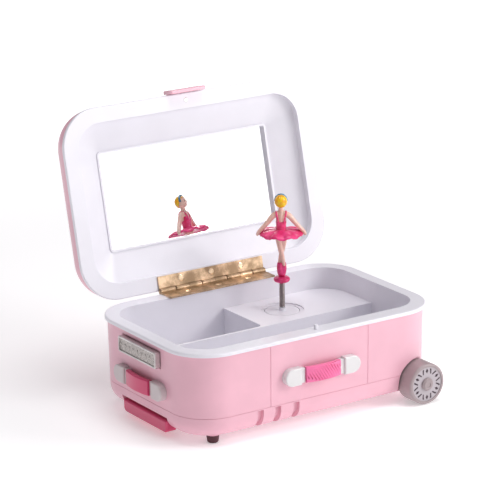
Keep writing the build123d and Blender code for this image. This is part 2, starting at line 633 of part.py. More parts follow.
def hinge_leaf(first, reach, z, screw_reach, countersink_up):
    leaf = block((-HINGE_HALF, HINGE_HALF), (HINGE_Y - reach, HINGE_Y), z)
    leaf = leaf - bar_x((-HINGE_HALF - 1, HINGE_HALF + 1), HINGE_Y, HINGE_Z, KNUCKLE_R + 0.15)
    low, high = z
    for a, b in knuckles(first):
        web = block((a, b), (HINGE_Y - KNUCKLE_R - 0.6, HINGE_Y - HINGE_PIN_R), (low, high))
        leaf = leaf + web + bar_x((a, b), HINGE_Y, HINGE_Z, KNUCKLE_R)
    leaf = leaf - bar_x((-HINGE_HALF - 1, HINGE_HALF + 1), HINGE_Y, HINGE_Z, HINGE_PIN_R + RUNNING)
    for x in HINGE_SCREW_X:
        leaf = leaf - pillar(x, HINGE_Y - screw_reach, (low - 1, high + 1), HINGE_SHANK_R)
        sink = HINGE_SCREW_R - HINGE_SHANK_R
        if countersink_up:
            cone = pillar(x, HINGE_Y - screw_reach, (high - sink, high), HINGE_SHANK_R, HINGE_SCREW_R)
        else:
            cone = pillar(x, HINGE_Y - screw_reach, (low, low + sink), HINGE_SCREW_R, HINGE_SHANK_R)
        leaf = leaf - cone
    return leaf


def make_hinge_lower_leaf():
    return hinge_leaf(0, LOWER_LEAF, (RIM_TOP, RIM_TOP + LEAF_T), LOWER_SCREW_REACH, True)


def make_hinge_upper_leaf():
    return opened(hinge_leaf(1, UPPER_LEAF, (LID_PLANE - LEAF_T, LID_PLANE), UPPER_SCREW_REACH, False))


def make_hinge_pin():
    pin = bar_x((-HINGE_HALF - 0.4, HINGE_HALF + 0.4), HINGE_Y, HINGE_Z, HINGE_PIN_R)
    return chamfer(pin.edges().filter_by(GeomType.CIRCLE), 0.25)


def make_hinge_lower_screws():
    screw = domed_head(HINGE_SCREW_R, HINGE_SHANK_R, 6, SCREW_PROUD)
    y = HINGE_Y - LOWER_SCREW_REACH
    return Compound([Pos(x, y, RIM_TOP + LEAF_T) * screw for x in HINGE_SCREW_X])


def make_hinge_upper_screws():
    screw = Rot(180, 0, 0) * domed_head(HINGE_SCREW_R, HINGE_SHANK_R, 2.4, SCREW_PROUD)
    y = HINGE_Y - UPPER_SCREW_REACH
    return opened(Compound([Pos(x, y, LID_PLANE - LEAF_T) * screw for x in HINGE_SCREW_X]))


# ---- handles, drawn along X against the plane y=0, facing -Y ----------------------------
def handle_cap(side):
    """A D-shaped end block with a lower step that takes the end of the grip."""
    half = CAP_HEIGHT / 2
    flat = CAP_OUTER - half
    outline = Pos((CAP_INNER + flat) / 2, 0) * Rectangle(flat - CAP_INNER, CAP_HEIGHT) + Pos(flat, 0) * Circle(half)
    cap = extrude(Plane.XZ * outline, CAP_PROUD) + extrude(Plane.XZ * outline, -CAP_ROOT)
    cap = fillet(cap.faces().sort_by(Axis.Y)[0].edges(), 0.9)
    step = block((GRIP_HALF + CAP_GAP, CAP_INNER + 1), (-CAP_STEP_PROUD, CAP_ROOT), centred(CAP_STEP_HEIGHT / 2))
    hole = Pos((CAP_INNER + CAP_OUTER) / 2, 0, 0) * Rot(90, 0, 0) * Cylinder(HANDLE_SCREW_R, 5)
    cap = cap + step - tongue() - hole
    return cap if side > 0 else mirror(cap, Plane.YZ)


def tongue():
    """The end of the grip that sits inside the cap's step."""
    y = (-GRIP_STANDOFF - 1.7, -GRIP_STANDOFF - 0.5)
    return block((GRIP_HALF - 1, GRIP_HALF + CAP_GAP + TONGUE), y, centred(GRIP_HEIGHT * 0.27))


def handle_grip(ribbed):
    """The bowed grip, with slanting ribs on its face if it is the front one."""
    near, far = -GRIP_STANDOFF, -GRIP_STANDOFF - GRIP_T
    inner = ThreePointArc((-GRIP_HALF, near), (0, near - GRIP_BOW), (GRIP_HALF, near))
    outer = ThreePointArc((GRIP_HALF, far), (0, far - GRIP_BOW), (-GRIP_HALF, far))
    ends = [Line((GRIP_HALF, near), (GRIP_HALF, far)), Line((-GRIP_HALF, far), (-GRIP_HALF, near))]
    plan = make_face(Wire([inner, ends[0], outer, ends[1]]).edges())
    grip = extrude(Pos(0, 0, -GRIP_HEIGHT / 2) * plan, GRIP_HEIGHT)
    grip = fillet(grip.edges().filter_by(lambda e: e.geom_type == GeomType.CIRCLE), 0.8)
    pitch = 2 * GRIP_HALF / GRIP_RIBS
    for k in range(GRIP_RIBS + 3 if ribbed else 0):
        x = -GRIP_HALF + (k - 1) * pitch
        bow = GRIP_BOW * (1 - (x / GRIP_HALF) ** 2)
        cutter = Box(pitch * 0.42, 2 * RIB_DEPTH, GRIP_HEIGHT * 1.6)
        grip = grip - Pos(x, far - bow, 0) * Rot(0, -RIB_SLANT, 0) * cutter
    return grip + tongue() + mirror(tongue(), Plane.YZ)


def on_front(solid):
    return Pos(0, case_front_y(FRONT_HANDLE_Z), FRONT_HANDLE_Z) * solid


def on_end(solid):
    return Pos(case_end_x(END_HANDLE_Z), 0, END_HANDLE_Z) * Rot(0, 0, -90) * solid


def case_slope(z):
    """How far the tapered case wall has moved inwards at a height."""
    return CASE_INSET + (CASE_TOP - z) * sin(radians(CASE_TAPER))


def case_front_y(z):
    return -(HALF_W - case_slope(z))


def case_end_x(z):
    return -(HALF_L - case_slope(z))


def make_handle_screws():
    screws = []
    for x in handle_screw_places():
        shank = Rot(90, 0, 0) * Cylinder(HANDLE_SCREW_R, 4.4)
        head = Pos(0, 3.2, 0) * Rot(90, 0, 0) * Cylinder(1.7, 1.2)
        screw = Pos(x, 0.4, 0) * (shank + head)
        screws.append(on_front(screw))
        screws.append(on_end(screw))
    return Compound(screws)


# ---- nameplate, drawn along X against the plane y=0, facing -Y --------------------------
def on_plate_place(solid):
    return Pos(case_end_x(PLATE_Z), 0, PLATE_Z) * Rot(0, 0, -90) * solid


def make_nameplate_frame(case):
    frame = extrude(Plane.XZ * RectangleRounded(PLATE_L, PLATE_H, 1.0), PLATE_T)
    frame = fillet(frame.faces().sort_by(Axis.Y)[0].edges(), 0.4)
    frame = frame + extrude(Plane.XZ * RectangleRounded(PLATE_L, PLATE_H, 1.0), -2 * PLATE_SEAT_DEPTH)
    inner = RectangleRounded(PLATE_L - 2 * PLATE_BORDER, PLATE_H - 2 * PLATE_BORDER, 0.6)
    recess = Pos(0, -PLATE_T, 0) * extrude(Plane.XZ * inner, -PLATE_RECESS)
    return on_plate_place(frame - recess) - case


def make_nameplate_panel():
    """The embossed strip: a row of round rosettes with beads between them."""
    margin = 2 * PLATE_BORDER
    base = -PLATE_T + PLATE_RECESS
    panel = block((-PLATE_L / 2 + margin / 2, PLATE_L / 2 - margin / 2), (base - PANEL_T / 2, base),
                  (-PLATE_H / 2 + margin / 2, PLATE_H / 2 - margin / 2))
    panel = fillet(panel.edges().filter_by(Axis.Y), 0.6)
    count = int((PLATE_L - 2 * margin) / BEAD_PITCH)
    for k in range(count + 1):
        x = (k - count / 2) * BEAD_PITCH
        rosette = Pos(x, base - PANEL_T / 2, 0) * Rot(90, 0, 0) * Cone(BEAD_R, BEAD_R * 0.6, PANEL_T)
        panel = panel + rosette
    return on_plate_place(panel)


# ---- wheels and axle, drawn for the front and mirrored to the back -----------------------
def make_wheel():
    y = (-WHEEL_FACE_Y, -WHEEL_FACE_Y + WHEEL_W)
    wheel = bar_y(WHEEL_X, y, WHEEL_R, WHEEL_R)
    wheel = fillet(wheel.faces().sort_by(Axis.Y)[0].edges(), WHEEL_ROUND)
    wheel = fillet(wheel.faces().sort_by(Axis.Y)[-1].edges(), WHEEL_ROUND / 2)
    wheel = wheel - bar_y(WHEEL_X, (y[0] - 1, y[0] + LABEL_SINK + LABEL_T), WHEEL_R, LABEL_R)
    hollow = bar_y(WHEEL_X, (y[1] - WHEEL_HOLLOW, y[1] + 1), WHEEL_R, LABEL_R - 1)
    hollow = hollow - bar_y(WHEEL_X, (y[0], y[1] + 2), WHEEL_R, HUB_R)
    return wheel - hollow - bar_y(WHEEL_X, (y[0] - 1, y[1] + 1), WHEEL_R, AXLE_R + RUNNING)


def make_wheel_label():
    y = -WHEEL_FACE_Y + LABEL_SINK
    disc = bar_y(WHEEL_X, (y, y + LABEL_T), WHEEL_R, LABEL_R)
    return disc - bar_y(WHEEL_X, (y - 1, y + 2), WHEEL_R, HUB_R - 0.6)


def make_hub_cap():
    """A push-on cap that keeps the wheel on its axle."""
    y = -WHEEL_FACE_Y
    cap = bar_y(WHEEL_X, (y - HUB_RISE, y + LABEL_SINK), WHEEL_R, HUB_R)
    cap = chamfer(cap.faces().sort_by(Axis.Y)[0].edges(), 1.1)
    dimple = bar_y(WHEEL_X, (y - HUB_RISE - 1, y - HUB_RISE + 0.3), WHEEL_R, AXLE_R)
    return cap - dimple - bar_y(WHEEL_X, (y - HUB_RISE + 0.6, y + 1), WHEEL_R, AXLE_R)


def make_wheel_axle():
    end = WHEEL_FACE_Y + HUB_RISE - 0.6
    return bar_y(WHEEL_X, (-end, end), WHEEL_R, AXLE_R)


# ---- trolley handle -------------------------------------------------------------------
def make_trolley_grip():
    x = (-TROLLEY_FRONT, -TROLLEY_FRONT + TROLLEY_DEPTH)
    grip = block(x, (-TROLLEY_HALF, TROLLEY_HALF), (TROLLEY_LOW, TROLLEY_TOP))
    corners = grip.edges().filter_by(Axis.X).group_by(Axis.Z)[0]
    grip = fillet(corners, 3.2)
    grip = fillet(grip.edges().filter_by(Axis.Y), 1.2)
    for y in (-ROD_Y, ROD_Y):
        grip = grip - bar_x((x[0] + 3, 0), y, ROD_Z, ROD_R)
    return grip


def rod_span():
    """From the grip to the stop bar, so that the bar meets the guides at full travel."""
    guide_end = -TROLLEY_FRONT + RECESS_DEPTH + RECESS_WALL + GUIDE_T
    return (-TROLLEY_FRONT + 3, guide_end + TROLLEY_TRAVEL + STOP_BAR_T + 0.5)


def make_trolley_rods():
    return Compound([bar_x(rod_span(), y, ROD_Z, ROD_R) for y in (-ROD_Y, ROD_Y)])


def make_trolley_stop_bar():
    end = rod_span()[1]
    bar = block((end - STOP_BAR_T, end), (-ROD_Y - 3, ROD_Y + 3), (ROD_Z - 1.3, ROD_Z + 2.4))
    return bar - [bar_x(rod_span(), y, ROD_Z, ROD_R) for y in (-ROD_Y, ROD_Y)]


# ---- movement -------------------------------------------------------------------------
def make_winding_key():
    hub = pillar(DANCER_X, DANCER_Y, (KEY_LOW, DISH_ROOF - 0.6), 2.9)
    wing_z = (KEY_LOW + DISH_ROOF - 1.2) / 2
    wings = Part()
    for side in (-1, 1):
        lobe = Pos(DANCER_X + side * (KEY_HALF - 3.2), DANCER_Y, wing_z) * Rot(90, 0, 0) * Cylinder(3.2, KEY_T)
        web = block(sorted_pair(DANCER_X, DANCER_X + side * (KEY_HALF - 3.2)),
                    (DANCER_Y - KEY_T / 2, DANCER_Y + KEY_T / 2), (wing_z - 2.2, wing_z + 2.2))
        hole = Pos(DANCER_X + side * (KEY_HALF - 3.2), DANCER_Y, wing_z) * Rot(90, 0, 0) * Cylinder(1.3, 2 * KEY_T)
        wings = wings + lobe + web - hole
    return wings + hub - pillar(DANCER_X, DANCER_Y, (KEY_LOW + 1.5, DISH_ROOF), ARBOR_R)


def sorted_pair(a, b):
    return (min(a, b), max(a, b))


def make_winding_arbor():
    arbor = pillar(DANCER_X, DANCER_Y, (KEY_LOW + 1.5, BARREL_HIGH - BARREL_WALL - 0.6), ARBOR_R)
    return arbor


def make_spring_barrel():
    """Open drum with a crown wheel on its lower flange and a closed top."""
    drum = pillar(DANCER_X, DANCER_Y, (BARREL_LOW, BARREL_HIGH), BARREL_R)
    flange = pillar(DANCER_X, DANCER_Y, (BARREL_LOW, CROWN_ROOT_Z), CROWN_FACE[1])
    space = pillar(DANCER_X, DANCER_Y, (CROWN_ROOT_Z, BARREL_HIGH - BARREL_WALL), BARREL_R - BARREL_WALL)
    barrel = drum + flange
    tip_z = CYL_Z - PINION_R + TOOTH_ABOVE * CROWN_MODULE
    half = pi * CROWN_MODULE * TOOTH_FILL / 2
    slope = 0.30
    pitch_z = CYL_Z - PINION_R
    root_half = half + slope * (pitch_z - CROWN_ROOT_Z)
    tip_half = half - slope * (tip_z - pitch_z)
    profile = Polygon((-root_half, CROWN_ROOT_Z - 0.2), (root_half, CROWN_ROOT_Z - 0.2),
                      (tip_half, tip_z), (-tip_half, tip_z), align=None)
    tooth = Pos(CROWN_FACE[0], 0, 0) * extrude(Plane.YZ * profile, CROWN_FACE[1] - CROWN_FACE[0] - 0.1)
    step = 360 / CROWN_TEETH
    teeth = [Pos(DANCER_X, DANCER_Y, 0) * Rot(0, 0, (k + 0.5) * step) * tooth for k in range(CROWN_TEETH)]
    barrel = barrel + teeth - space
    barrel = barrel - pillar(DANCER_X, DANCER_Y, (0, CROWN_ROOT_Z + 1), ARBOR_R + RUNNING)
    return barrel - pillar(DANCER_X, DANCER_Y, (BARREL_HIGH - BARREL_WALL - 1, BARREL_HIGH + 1), SPINDLE_R)


def make_mainspring():
    """A flat spiral from the arbor to the drum, drawn as half turns that grow outwards."""
    pitch = 1.05
    turns = int((BARREL_R - BARREL_WALL - ARBOR_R - 1.6) / pitch)
    halves = []
    radius = ARBOR_R + 0.9
    centre = 0.0
    for k in range(2 * turns):
        side = 1 if k % 2 == 0 else -1
        start = (centre + side * radius, 0)
        middle = (centre, side * radius)
        end = (centre - side * radius, 0)
        halves.append(ThreePointArc(start, middle, end))
        radius = radius + pitch / 2
        centre = centre + side * pitch / 2
    ribbon = trace(Wire(halves), line_width=0.3)
    return Pos(DANCER_X, DANCER_Y, CROWN_ROOT_Z + 0.8) * extrude(ribbon, BARREL_HIGH - BARREL_WALL - CROWN_ROOT_Z - 1.6)


def make_spindle():
    return pillar(DANCER_X, DANCER_Y, (BARREL_HIGH - BARREL_WALL, HUB_TOP - 0.8), SPINDLE_R)


def make_turntable_disc():
    disc = pillar(DANCER_X, DANCER_Y, (DISC_LOW, DISC_LOW + TURNTABLE_T), TURNTABLE_R)
    disc = fillet(disc.faces().sort_by(Axis.Z)[-1].edges(), 0.4)
    post = pillar(DANCER_X, DANCER_Y, (DISC_LOW, HUB_TOP), HUB_POST_R)
    post = fillet(post.faces().sort_by(Axis.Z)[-1].edges(), 0.3)
    neck = pillar(DANCER_X, DANCER_Y, (RECESS_FLOOR - PLATFORM_T - 0.8, DISC_LOW + 0.3), BUSH_HOLE_R)
    return disc + post + neck - pillar(DANCER_X, DANCER_Y, (0, HUB_TOP - 0.8), SPINDLE_R)


def make_spindle_collar():
    collar = pillar(DANCER_X, DANCER_Y, (RECESS_FLOOR - PLATFORM_T, RECESS_FLOOR), BUSH_R)
    return collar - pillar(DANCER_X, DANCER_Y, (0, RIM_TOP), BUSH_HOLE_R + RUNNING)


def make_bedplate():
    middle = Pos(DANCER_X + sum(BED_SPAN) / 2, DANCER_Y + sum(BED_DEPTH) / 2)
    plan = middle * Rectangle(BED_SPAN[1] - BED_SPAN[0], BED_DEPTH[1] - BED_DEPTH[0])
    plan = chamfer(plan.vertices().sort_by(lambda v: v.X + v.Y)[0], BED_CORNER)
    plan = fillet(plan.vertices().sort_by(lambda v: v.X + v.Y)[-1], BED_CORNER / 4)
    bed = extrude(Pos(0, 0, BED_Z) * plan, BED_T)
    bed = bed - pillar(DANCER_X, DANCER_Y, (0, RIM_TOP), ARBOR_R + RUNNING)
    bed = bed - pillar(GOVERNOR_X, GOVERNOR_Y, (0, RIM_TOP), GOVERNOR_SHAFT_R + RUNNING)
    for x, y in bed_screw_places():
        bed = bed - pillar(x, y, (0, RIM_TOP), BED_SCREW_R)
    seat_y = [DANCER_Y + y for y in COMB_SEAT]
    seat = block((CYL_X[0], CYL_X[0] + COMB_TEETH * COMB_PITCH), seat_y, (BED_Z + BED_T - 0.2, CYL_Z - COMB_T / 2))
    bed = bed + seat
    for x in comb_screw_places():
        bed = bed - pillar(x, DANCER_Y - COMB_ROOT, (CYL_Z - 6, CYL_Z), COMB_SCREW_R)
    return bed


def make_movement_screws():
    screws = []
    for x, y in bed_screw_places():
        top = BED_Z + BED_T
        screw = pillar(x, y, (top, top + 1.2), 2 * BED_SCREW_R) + pillar(x, y, (top - 7, top + 0.4), BED_SCREW_R)
        screws.append(screw - block(centred(2 * BED_SCREW_R, x), centred(SCREW_SLOT / 2, y), (top + 0.7, top + 2)))
    return Compound(screws)


def comb_screw_places():
    return (CYL_X[0] + 3.5, CYL_X[0] + COMB_TEETH * COMB_PITCH - 3.5)


def make_comb():
    """The steel comb, with one tuned tooth for each row of pins."""
    x0 = CYL_X[0]
    length = COMB_TEETH * COMB_PITCH
    z = (CYL_Z - COMB_T / 2, CYL_Z + COMB_T / 2)
    tip = DANCER_Y - CYL_R - TUNE_PIN_H - COMB_GAP
    root = DANCER_Y - COMB_ROOT
    comb = block((x0, x0 + length), (root - 2.4, root + 1.6), z)
    for k in range(COMB_TEETH):
        x = x0 + (k + 0.5) * COMB_PITCH
        thin = z[1] - COMB_T * 0.45
        comb = comb + block(centred(COMB_TOOTH / 2, x), (root + 1.4, tip), (thin, z[1]))
    for x in comb_screw_places():
        comb = comb - pillar(x, root, (0, RIM_TOP), COMB_SCREW_R)
    return comb


def make_comb_screws():
    top = CYL_Z + COMB_T / 2
    y = DANCER_Y - COMB_ROOT
    screws = []
    for x in comb_screw_places():
        screw = pillar(x, y, (top, top + 1.0), 1.45) + pillar(x, y, (top - 5, top + 0.4), COMB_SCREW_R)
        screws.append(screw - block(centred(2, x), centred(SCREW_SLOT / 2, y), (top + 0.6, top + 2)))
    return Compound(screws)


def make_bearing_plates():
    """The two upright plates that carry the cylinder and the idler."""
    plates = []
    for a, b in (PLATE_LEFT_X, PLATE_RIGHT_X):
        upright = block((a, b), (DANCER_Y - 3.5, IDLER_Y + 3.0), (BED_Z + BED_T, CYL_Z + 3.4))
        upright = fillet(upright.edges().filter_by(Axis.X).group_by(Axis.Z)[-1], 2.0)
        upright = upright - bar_x((a - 1, b + 1), DANCER_Y, CYL_Z, CYL_ARBOR_R + RUNNING)
        upright = upright - bar_x((a - 1, b + 1), IDLER_Y, CYL_Z, IDLER_R + RUNNING)
        plates.append(upright)
    return Compound(plates)


def make_pinned_cylinder():
    """Pinion, pinned drum and end wheel on one arbor; the pins play two short phrases."""
    body = bar_x(CYL_X, DANCER_Y, CYL_Z, CYL_R)
    body = body + bar_x((PINION_X[0], PLATE_RIGHT_X[1] + 0.6), DANCER_Y, CYL_Z, CYL_ARBOR_R)
    pinion = gear(PINION_TEETH, CROWN_MODULE, PINION_X[1] - PINION_X[0])
    body = body + along_x(pinion, PINION_X[0], DANCER_Y, CYL_Z)
    wheel = gear(END_TEETH, FINE_MODULE, END_X[1] - END_X[0], 90)
    body = body + along_x(wheel, END_X[0], DANCER_Y, CYL_Z)
    pins = []
    for k in range(3 * COMB_TEETH):
        x = CYL_X[0] + (k % COMB_TEETH + 0.5) * COMB_PITCH
        turn = (k * 137.5) % 330 + 15
        pins.append(Pos(x, DANCER_Y, CYL_Z) * Rot(turn, 0, 0) * Pos(0, 0, CYL_R + TUNE_PIN_H / 2 - 0.15)
                    * Cylinder(TUNE_PIN_R, TUNE_PIN_H + 0.3))
    return body + pins


def make_idler_arbor():
    """Small pinion driven by the cylinder, with the worm wheel beside it."""
    body = bar_x((PLATE_LEFT_X[0] - 0.6, PLATE_RIGHT_X[1] + 0.6), IDLER_Y, CYL_Z, IDLER_R)
    gap = 90 + 180 / IDLER_TEETH
    pinion = gear(IDLER_TEETH, FINE_MODULE, END_X[1] - END_X[0], -gap)
    wheel = gear(WORM_WHEEL_TEETH, FINE_MODULE, WORM_WHEEL_X[1] - WORM_WHEEL_X[0], 90)
    body = body + along_x(pinion, END_X[0], IDLER_Y, CYL_Z)
    return body + along_x(wheel, WORM_WHEEL_X[0], IDLER_Y, CYL_Z)


def make_governor():
    """Worm and air brake that keep the tune slow: a thread, a shaft and two blades."""
    shaft = pillar(0, 0, (BED_Z + 0.4, 40.2), GOVERNOR_SHAFT_R)
    pitch = pi * FINE_MODULE
    height = WORM_TURNS * pitch
    low = CYL_Z - height / 2
    core = pillar(0, 0, (low - 0.8, low + height + 0.8), WORM_CORE)
    half = pitch * TOOTH_FILL / 2
    path = Helix(pitch=pitch, height=height, radius=WORM_R)
    profile = Polygon((WORM_CORE - 0.1, -half - 0.12), (WORM_TIP, -half + 0.12),
                      (WORM_TIP, half - 0.12), (WORM_CORE - 0.1, half + 0.12), align=None)
    thread = sweep(Plane.XZ * profile, path=path, is_frenet=True)
    worm = core + Pos(0, 0, low) * thread
    fan = block((-FAN_R, FAN_R), (-0.25, 0.25), FAN_Z) + pillar(0, 0, FAN_Z, 1.4)
    # the thread faces the wheel half a pitch away from the tooth that points at it
    return Pos(GOVERNOR_X, GOVERNOR_Y, 0) * (shaft + Rot(0, 0, -90) * worm + fan)


def make_governor_bracket():
    """A post with an arm over the fan that carries the top of the worm shaft."""
    x = GOVERNOR_X + FAN_R + 0.6
    post = block((x, x + 1.6), (GOVERNOR_Y - 3, GOVERNOR_Y + 2), (BED_Z + BED_T, 40.0))
    arm = block((GOVERNOR_X - 2, x + 1.6), (GOVERNOR_Y - 2, GOVERNOR_Y + 2), (38.6, 40.0))
    return post + arm - pillar(GOVERNOR_X, GOVERNOR_Y, (0, RIM_TOP), GOVERNOR_SHAFT_R + RUNNING)


# ---- stop pin and lever ------------------------------------------------------------------
def make_stop_pin():
    pin = pillar(0, -PIN_Y, (LEVER_Z + WIRE_R + 0.1, RIM_TOP + PIN_RISE), PIN_R)
    return fillet(pin.faces().sort_by(Axis.Z)[-1].edges(), 0.5)


def make_stop_lever():
    """A bent wire from under the stop pin to a finger beside the crown wheel."""
    reach = CROWN_FACE[1] + 1.8
    knee = (0, 2, LEVER_Z)
    foot = (DANCER_X - reach * cos(radians(45)), DANCER_Y - reach * sin(radians(45)), LEVER_Z)
    tip = (foot[0], foot[1], CROWN_ROOT_Z + 0.6)
    lever = limb((0, -PIN_Y, LEVER_Z), knee, WIRE_R, WIRE_R) + limb(knee, foot, WIRE_R, WIRE_R)
    lever = lever + limb(foot, tip, WIRE_R, WIRE_R)
    return lever + bar_x(centred(LEVER_PIVOT_HALF), LEVER_PIVOT_Y, LEVER_Z, WIRE_R)


# ---- dancer, who faces the back right of the box -------------------------------------------
def at_dancer(solid):
    return Pos(DANCER_X, DANCER_Y, 0) * Rot(0, 0, FACING) * solid


def make_dancer_spring():
    """The close-wound coil that carries the dancer and lets her lie down under the lid."""
    tube = pillar(DANCER_X, DANCER_Y, (HUB_TOP + 0.1, SPRING_TOP - 0.1), SPRING_R)
    return tube - pillar(DANCER_X, DANCER_Y, (0, SPRING_TOP), SPRING_R - SPRING_WIRE)


def make_dancer_base():
    base = pillar(0, 0, (SPRING_TOP, SPRING_TOP + BASE_T), BASE_R)
    base = fillet(base.edges().filter_by(GeomType.CIRCLE), 1.2)
    return at_dancer(base)


def make_dancer_shoes():
    low = SPRING_TOP + BASE_T
    shoes = limb((-0.9, -0.4, low + 0.6), (-1.4, 0, low + 7.2), 1.5, 1.7)
    shoes = shoes + limb((0.9, 0.5, low + 0.6), (1.3, 0, low + 7.2), 1.5, 1.7)
    return at_dancer(shoes - block((-9, 9), (-9, 9), (0, low)))


def make_dancer_figure():
    """Legs, bare back, arms, neck and head."""
    figure = limb((-1.5, 0, SHOES_TOP), (-1.6, 0, LEG_TOP - 3), 1.5, 2.1)
    figure = figure + limb((1.4, 0, SHOES_TOP), (1.6, 0, LEG_TOP - 3), 1.5, 2.1)
    figure = figure + limb((-1.6, 0, LEG_TOP - 3), (1.6, 0, LEG_TOP - 3), 2.1, 2.1)
    back = limb((0, 0, LEG_TOP - 2), (0, 0, SHOULDER_Z - 2), 2.2, 2.4)
    neck = limb((0, 0, SHOULDER_Z - 1), (0, 0, HEAD_Z - 2), 1.5, 1.2)
    figure = at_dancer(figure + back + neck + arms() + Pos(0, 0, HEAD_Z) * Sphere(HEAD_R))
    return figure - make_dancer_shoes()


def arms():
    pair = limb((-3.4, 0, SHOULDER_Z - 1.4), (3.4, 0, SHOULDER_Z - 1.4), 1.4, 1.4)
    for side in (-1, 1):
        shoulder = (side * 3.4, 0, SHOULDER_Z - 1.4)
        elbow = (side * 6.6, 0.4, SHOULDER_Z - 7.0)
        hand = (side * 11.2, 1.0, TUTU_Z + 4.0)
        pair = pair + limb(shoulder, elbow, 1.35, 1.1) + limb(elbow, hand, 1.1, 0.9)
    return pair


def make_dancer_dress():
    """Bodice and tutu, hollow where the legs and shoulders pass."""
    skirt = Pos(0, 0, TUTU_Z) * Cone(TUTU_R, 5.0, 5.0) + Pos(0, 0, TUTU_Z - 3.1) * Cylinder(TUTU_R, 1.2)
    bodice = limb((0, 0, TUTU_Z + 2), (0, 0, SHOULDER_Z - 5.2), 3.2, 3.6)
    dress = fillet(skirt.edges().filter_by(GeomType.CIRCLE).sort_by(Axis.Z)[0], 0.5) + bodice
    return at_dancer(dress) - make_dancer_figure()


def make_dancer_hair():
    hair = Pos(0, -0.7, HEAD_Z + 0.6) * Sphere(HEAD_R + 0.6)
    bun = Pos(0, -2.4, HEAD_Z + HAIR_TOP - 2.0) * Sphere(2.0)
    face = block((-9, 9), (1.2, 9), (HEAD_Z - 9, HEAD_Z + 2.6))
    neck = block((-9, 9), (-9, 9), (0, HEAD_Z - 2.4))
    return at_dancer(hair + bun - face - neck) - make_dancer_figure()


def make_dancer_headband():
    band = Pos(0, -0.2, HEAD_Z + 1.6) * Rot(24, 0, 0) * Cylinder(HEAD_R + 1.1, 1.6)
    return at_dancer(band) - make_dancer_figure() - make_dancer_hair()


# ---- the whole object -----------------------------------------------------------------------
def build_nodes():
    """Every piece of the music box, by name."""
    shell = shell_with_wells()
    case = case_shape()
    nodes = {
        "case_body": make_case_body(shell),
        "bottom_pan": make_bottom_pan(shell),
        "inner_tray": make_inner_tray(),
        "case_screws": make_case_screws(),
        "foot_front": make_foot(-FOOT_Y),
        "foot_back": make_foot(FOOT_Y),
        "nameplate_frame": make_nameplate_frame(case),
        "nameplate_panel": make_nameplate_panel(),
        "front_handle_cap_left": on_front(handle_cap(-1)) - case,
        "front_handle_cap_right": on_front(handle_cap(1)) - case,
        "front_handle_grip": on_front(handle_grip(True)),
        "end_handle_cap_front": on_end(handle_cap(1)) - case,
        "end_handle_cap_back": on_end(handle_cap(-1)) - case,
        "end_handle_grip": on_end(handle_grip(False)),
        "handle_screws": make_handle_screws(),
        "lid_shell": make_lid_shell(),
        "lid_liner": make_lid_liner(),
        "mirror": make_mirror(),
        "lid_latch": make_lid_latch(),
        "lid_screw": make_lid_screw(),
        "hinge_lower_leaf": make_hinge_lower_leaf(),
        "hinge_upper_leaf": make_hinge_upper_leaf(),
        "hinge_pin": make_hinge_pin(),
        "hinge_lower_screws": make_hinge_lower_screws(),
        "hinge_upper_screws": make_hinge_upper_screws(),
        "wheel_axle": make_wheel_axle(),
        "trolley_grip": make_trolley_grip(),
        "trolley_rods": make_trolley_rods(),
        "trolley_stop_bar": make_trolley_stop_bar(),
        "winding_key": make_winding_key(),
        "winding_arbor": make_winding_arbor(),
        "spring_barrel": make_spring_barrel(),
        "mainspring": make_mainspring(),
        "spindle": make_spindle(),
        "turntable_disc": make_turntable_disc(),
        "spindle_collar": make_spindle_collar(),
        "bedplate": make_bedplate(),
        "movement_screws": make_movement_screws(),
        "comb": make_comb(),
        "comb_screws": make_comb_screws(),
        "bearing_plates": make_bearing_plates(),
        "pinned_cylinder": make_pinned_cylinder(),
        "idler_arbor": make_idler_arbor(),
        "governor": make_governor(),
        "governor_bracket": make_governor_bracket(),
        "stop_pin": make_stop_pin(),
        "stop_lever": make_stop_lever(),
        "dancer_spring": make_dancer_spring(),
        "dancer_base": make_dancer_base(),
        "dancer_shoes": make_dancer_shoes(),
        "dancer_figure": make_dancer_figure(),
        "dancer_dress": make_dancer_dress(),
        "dancer_hair": make_dancer_hair(),
        "dancer_headband": make_dancer_headband(),
    }
    for name, y_plane in (("front", False), ("back", True)):
        for part, solid in (("wheel", make_wheel()), ("wheel_label", make_wheel_label()), ("hub_cap", make_hub_cap())):
            nodes[f"{part}_{name}"] = mirror(solid, Plane.XZ) if y_plane else solid
    return nodes


os.makedirs("parts", exist_ok=True)
for node_name, node_solid in build_nodes().items():
    export_step(node_solid, f"parts/{node_name}.step")
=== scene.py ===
# %% [markdown]
# # A wind-up music box shaped like a toy suitcase
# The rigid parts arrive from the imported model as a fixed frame. This file gives every one of them a
# finish, and builds the pieces that are sculpted rather than machined: the dancer and her spring.

# %% Load the frame
from math import atan2, cos, pi, radians, sin, sqrt

import bmesh
import bpy
from mathutils import Matrix, Vector


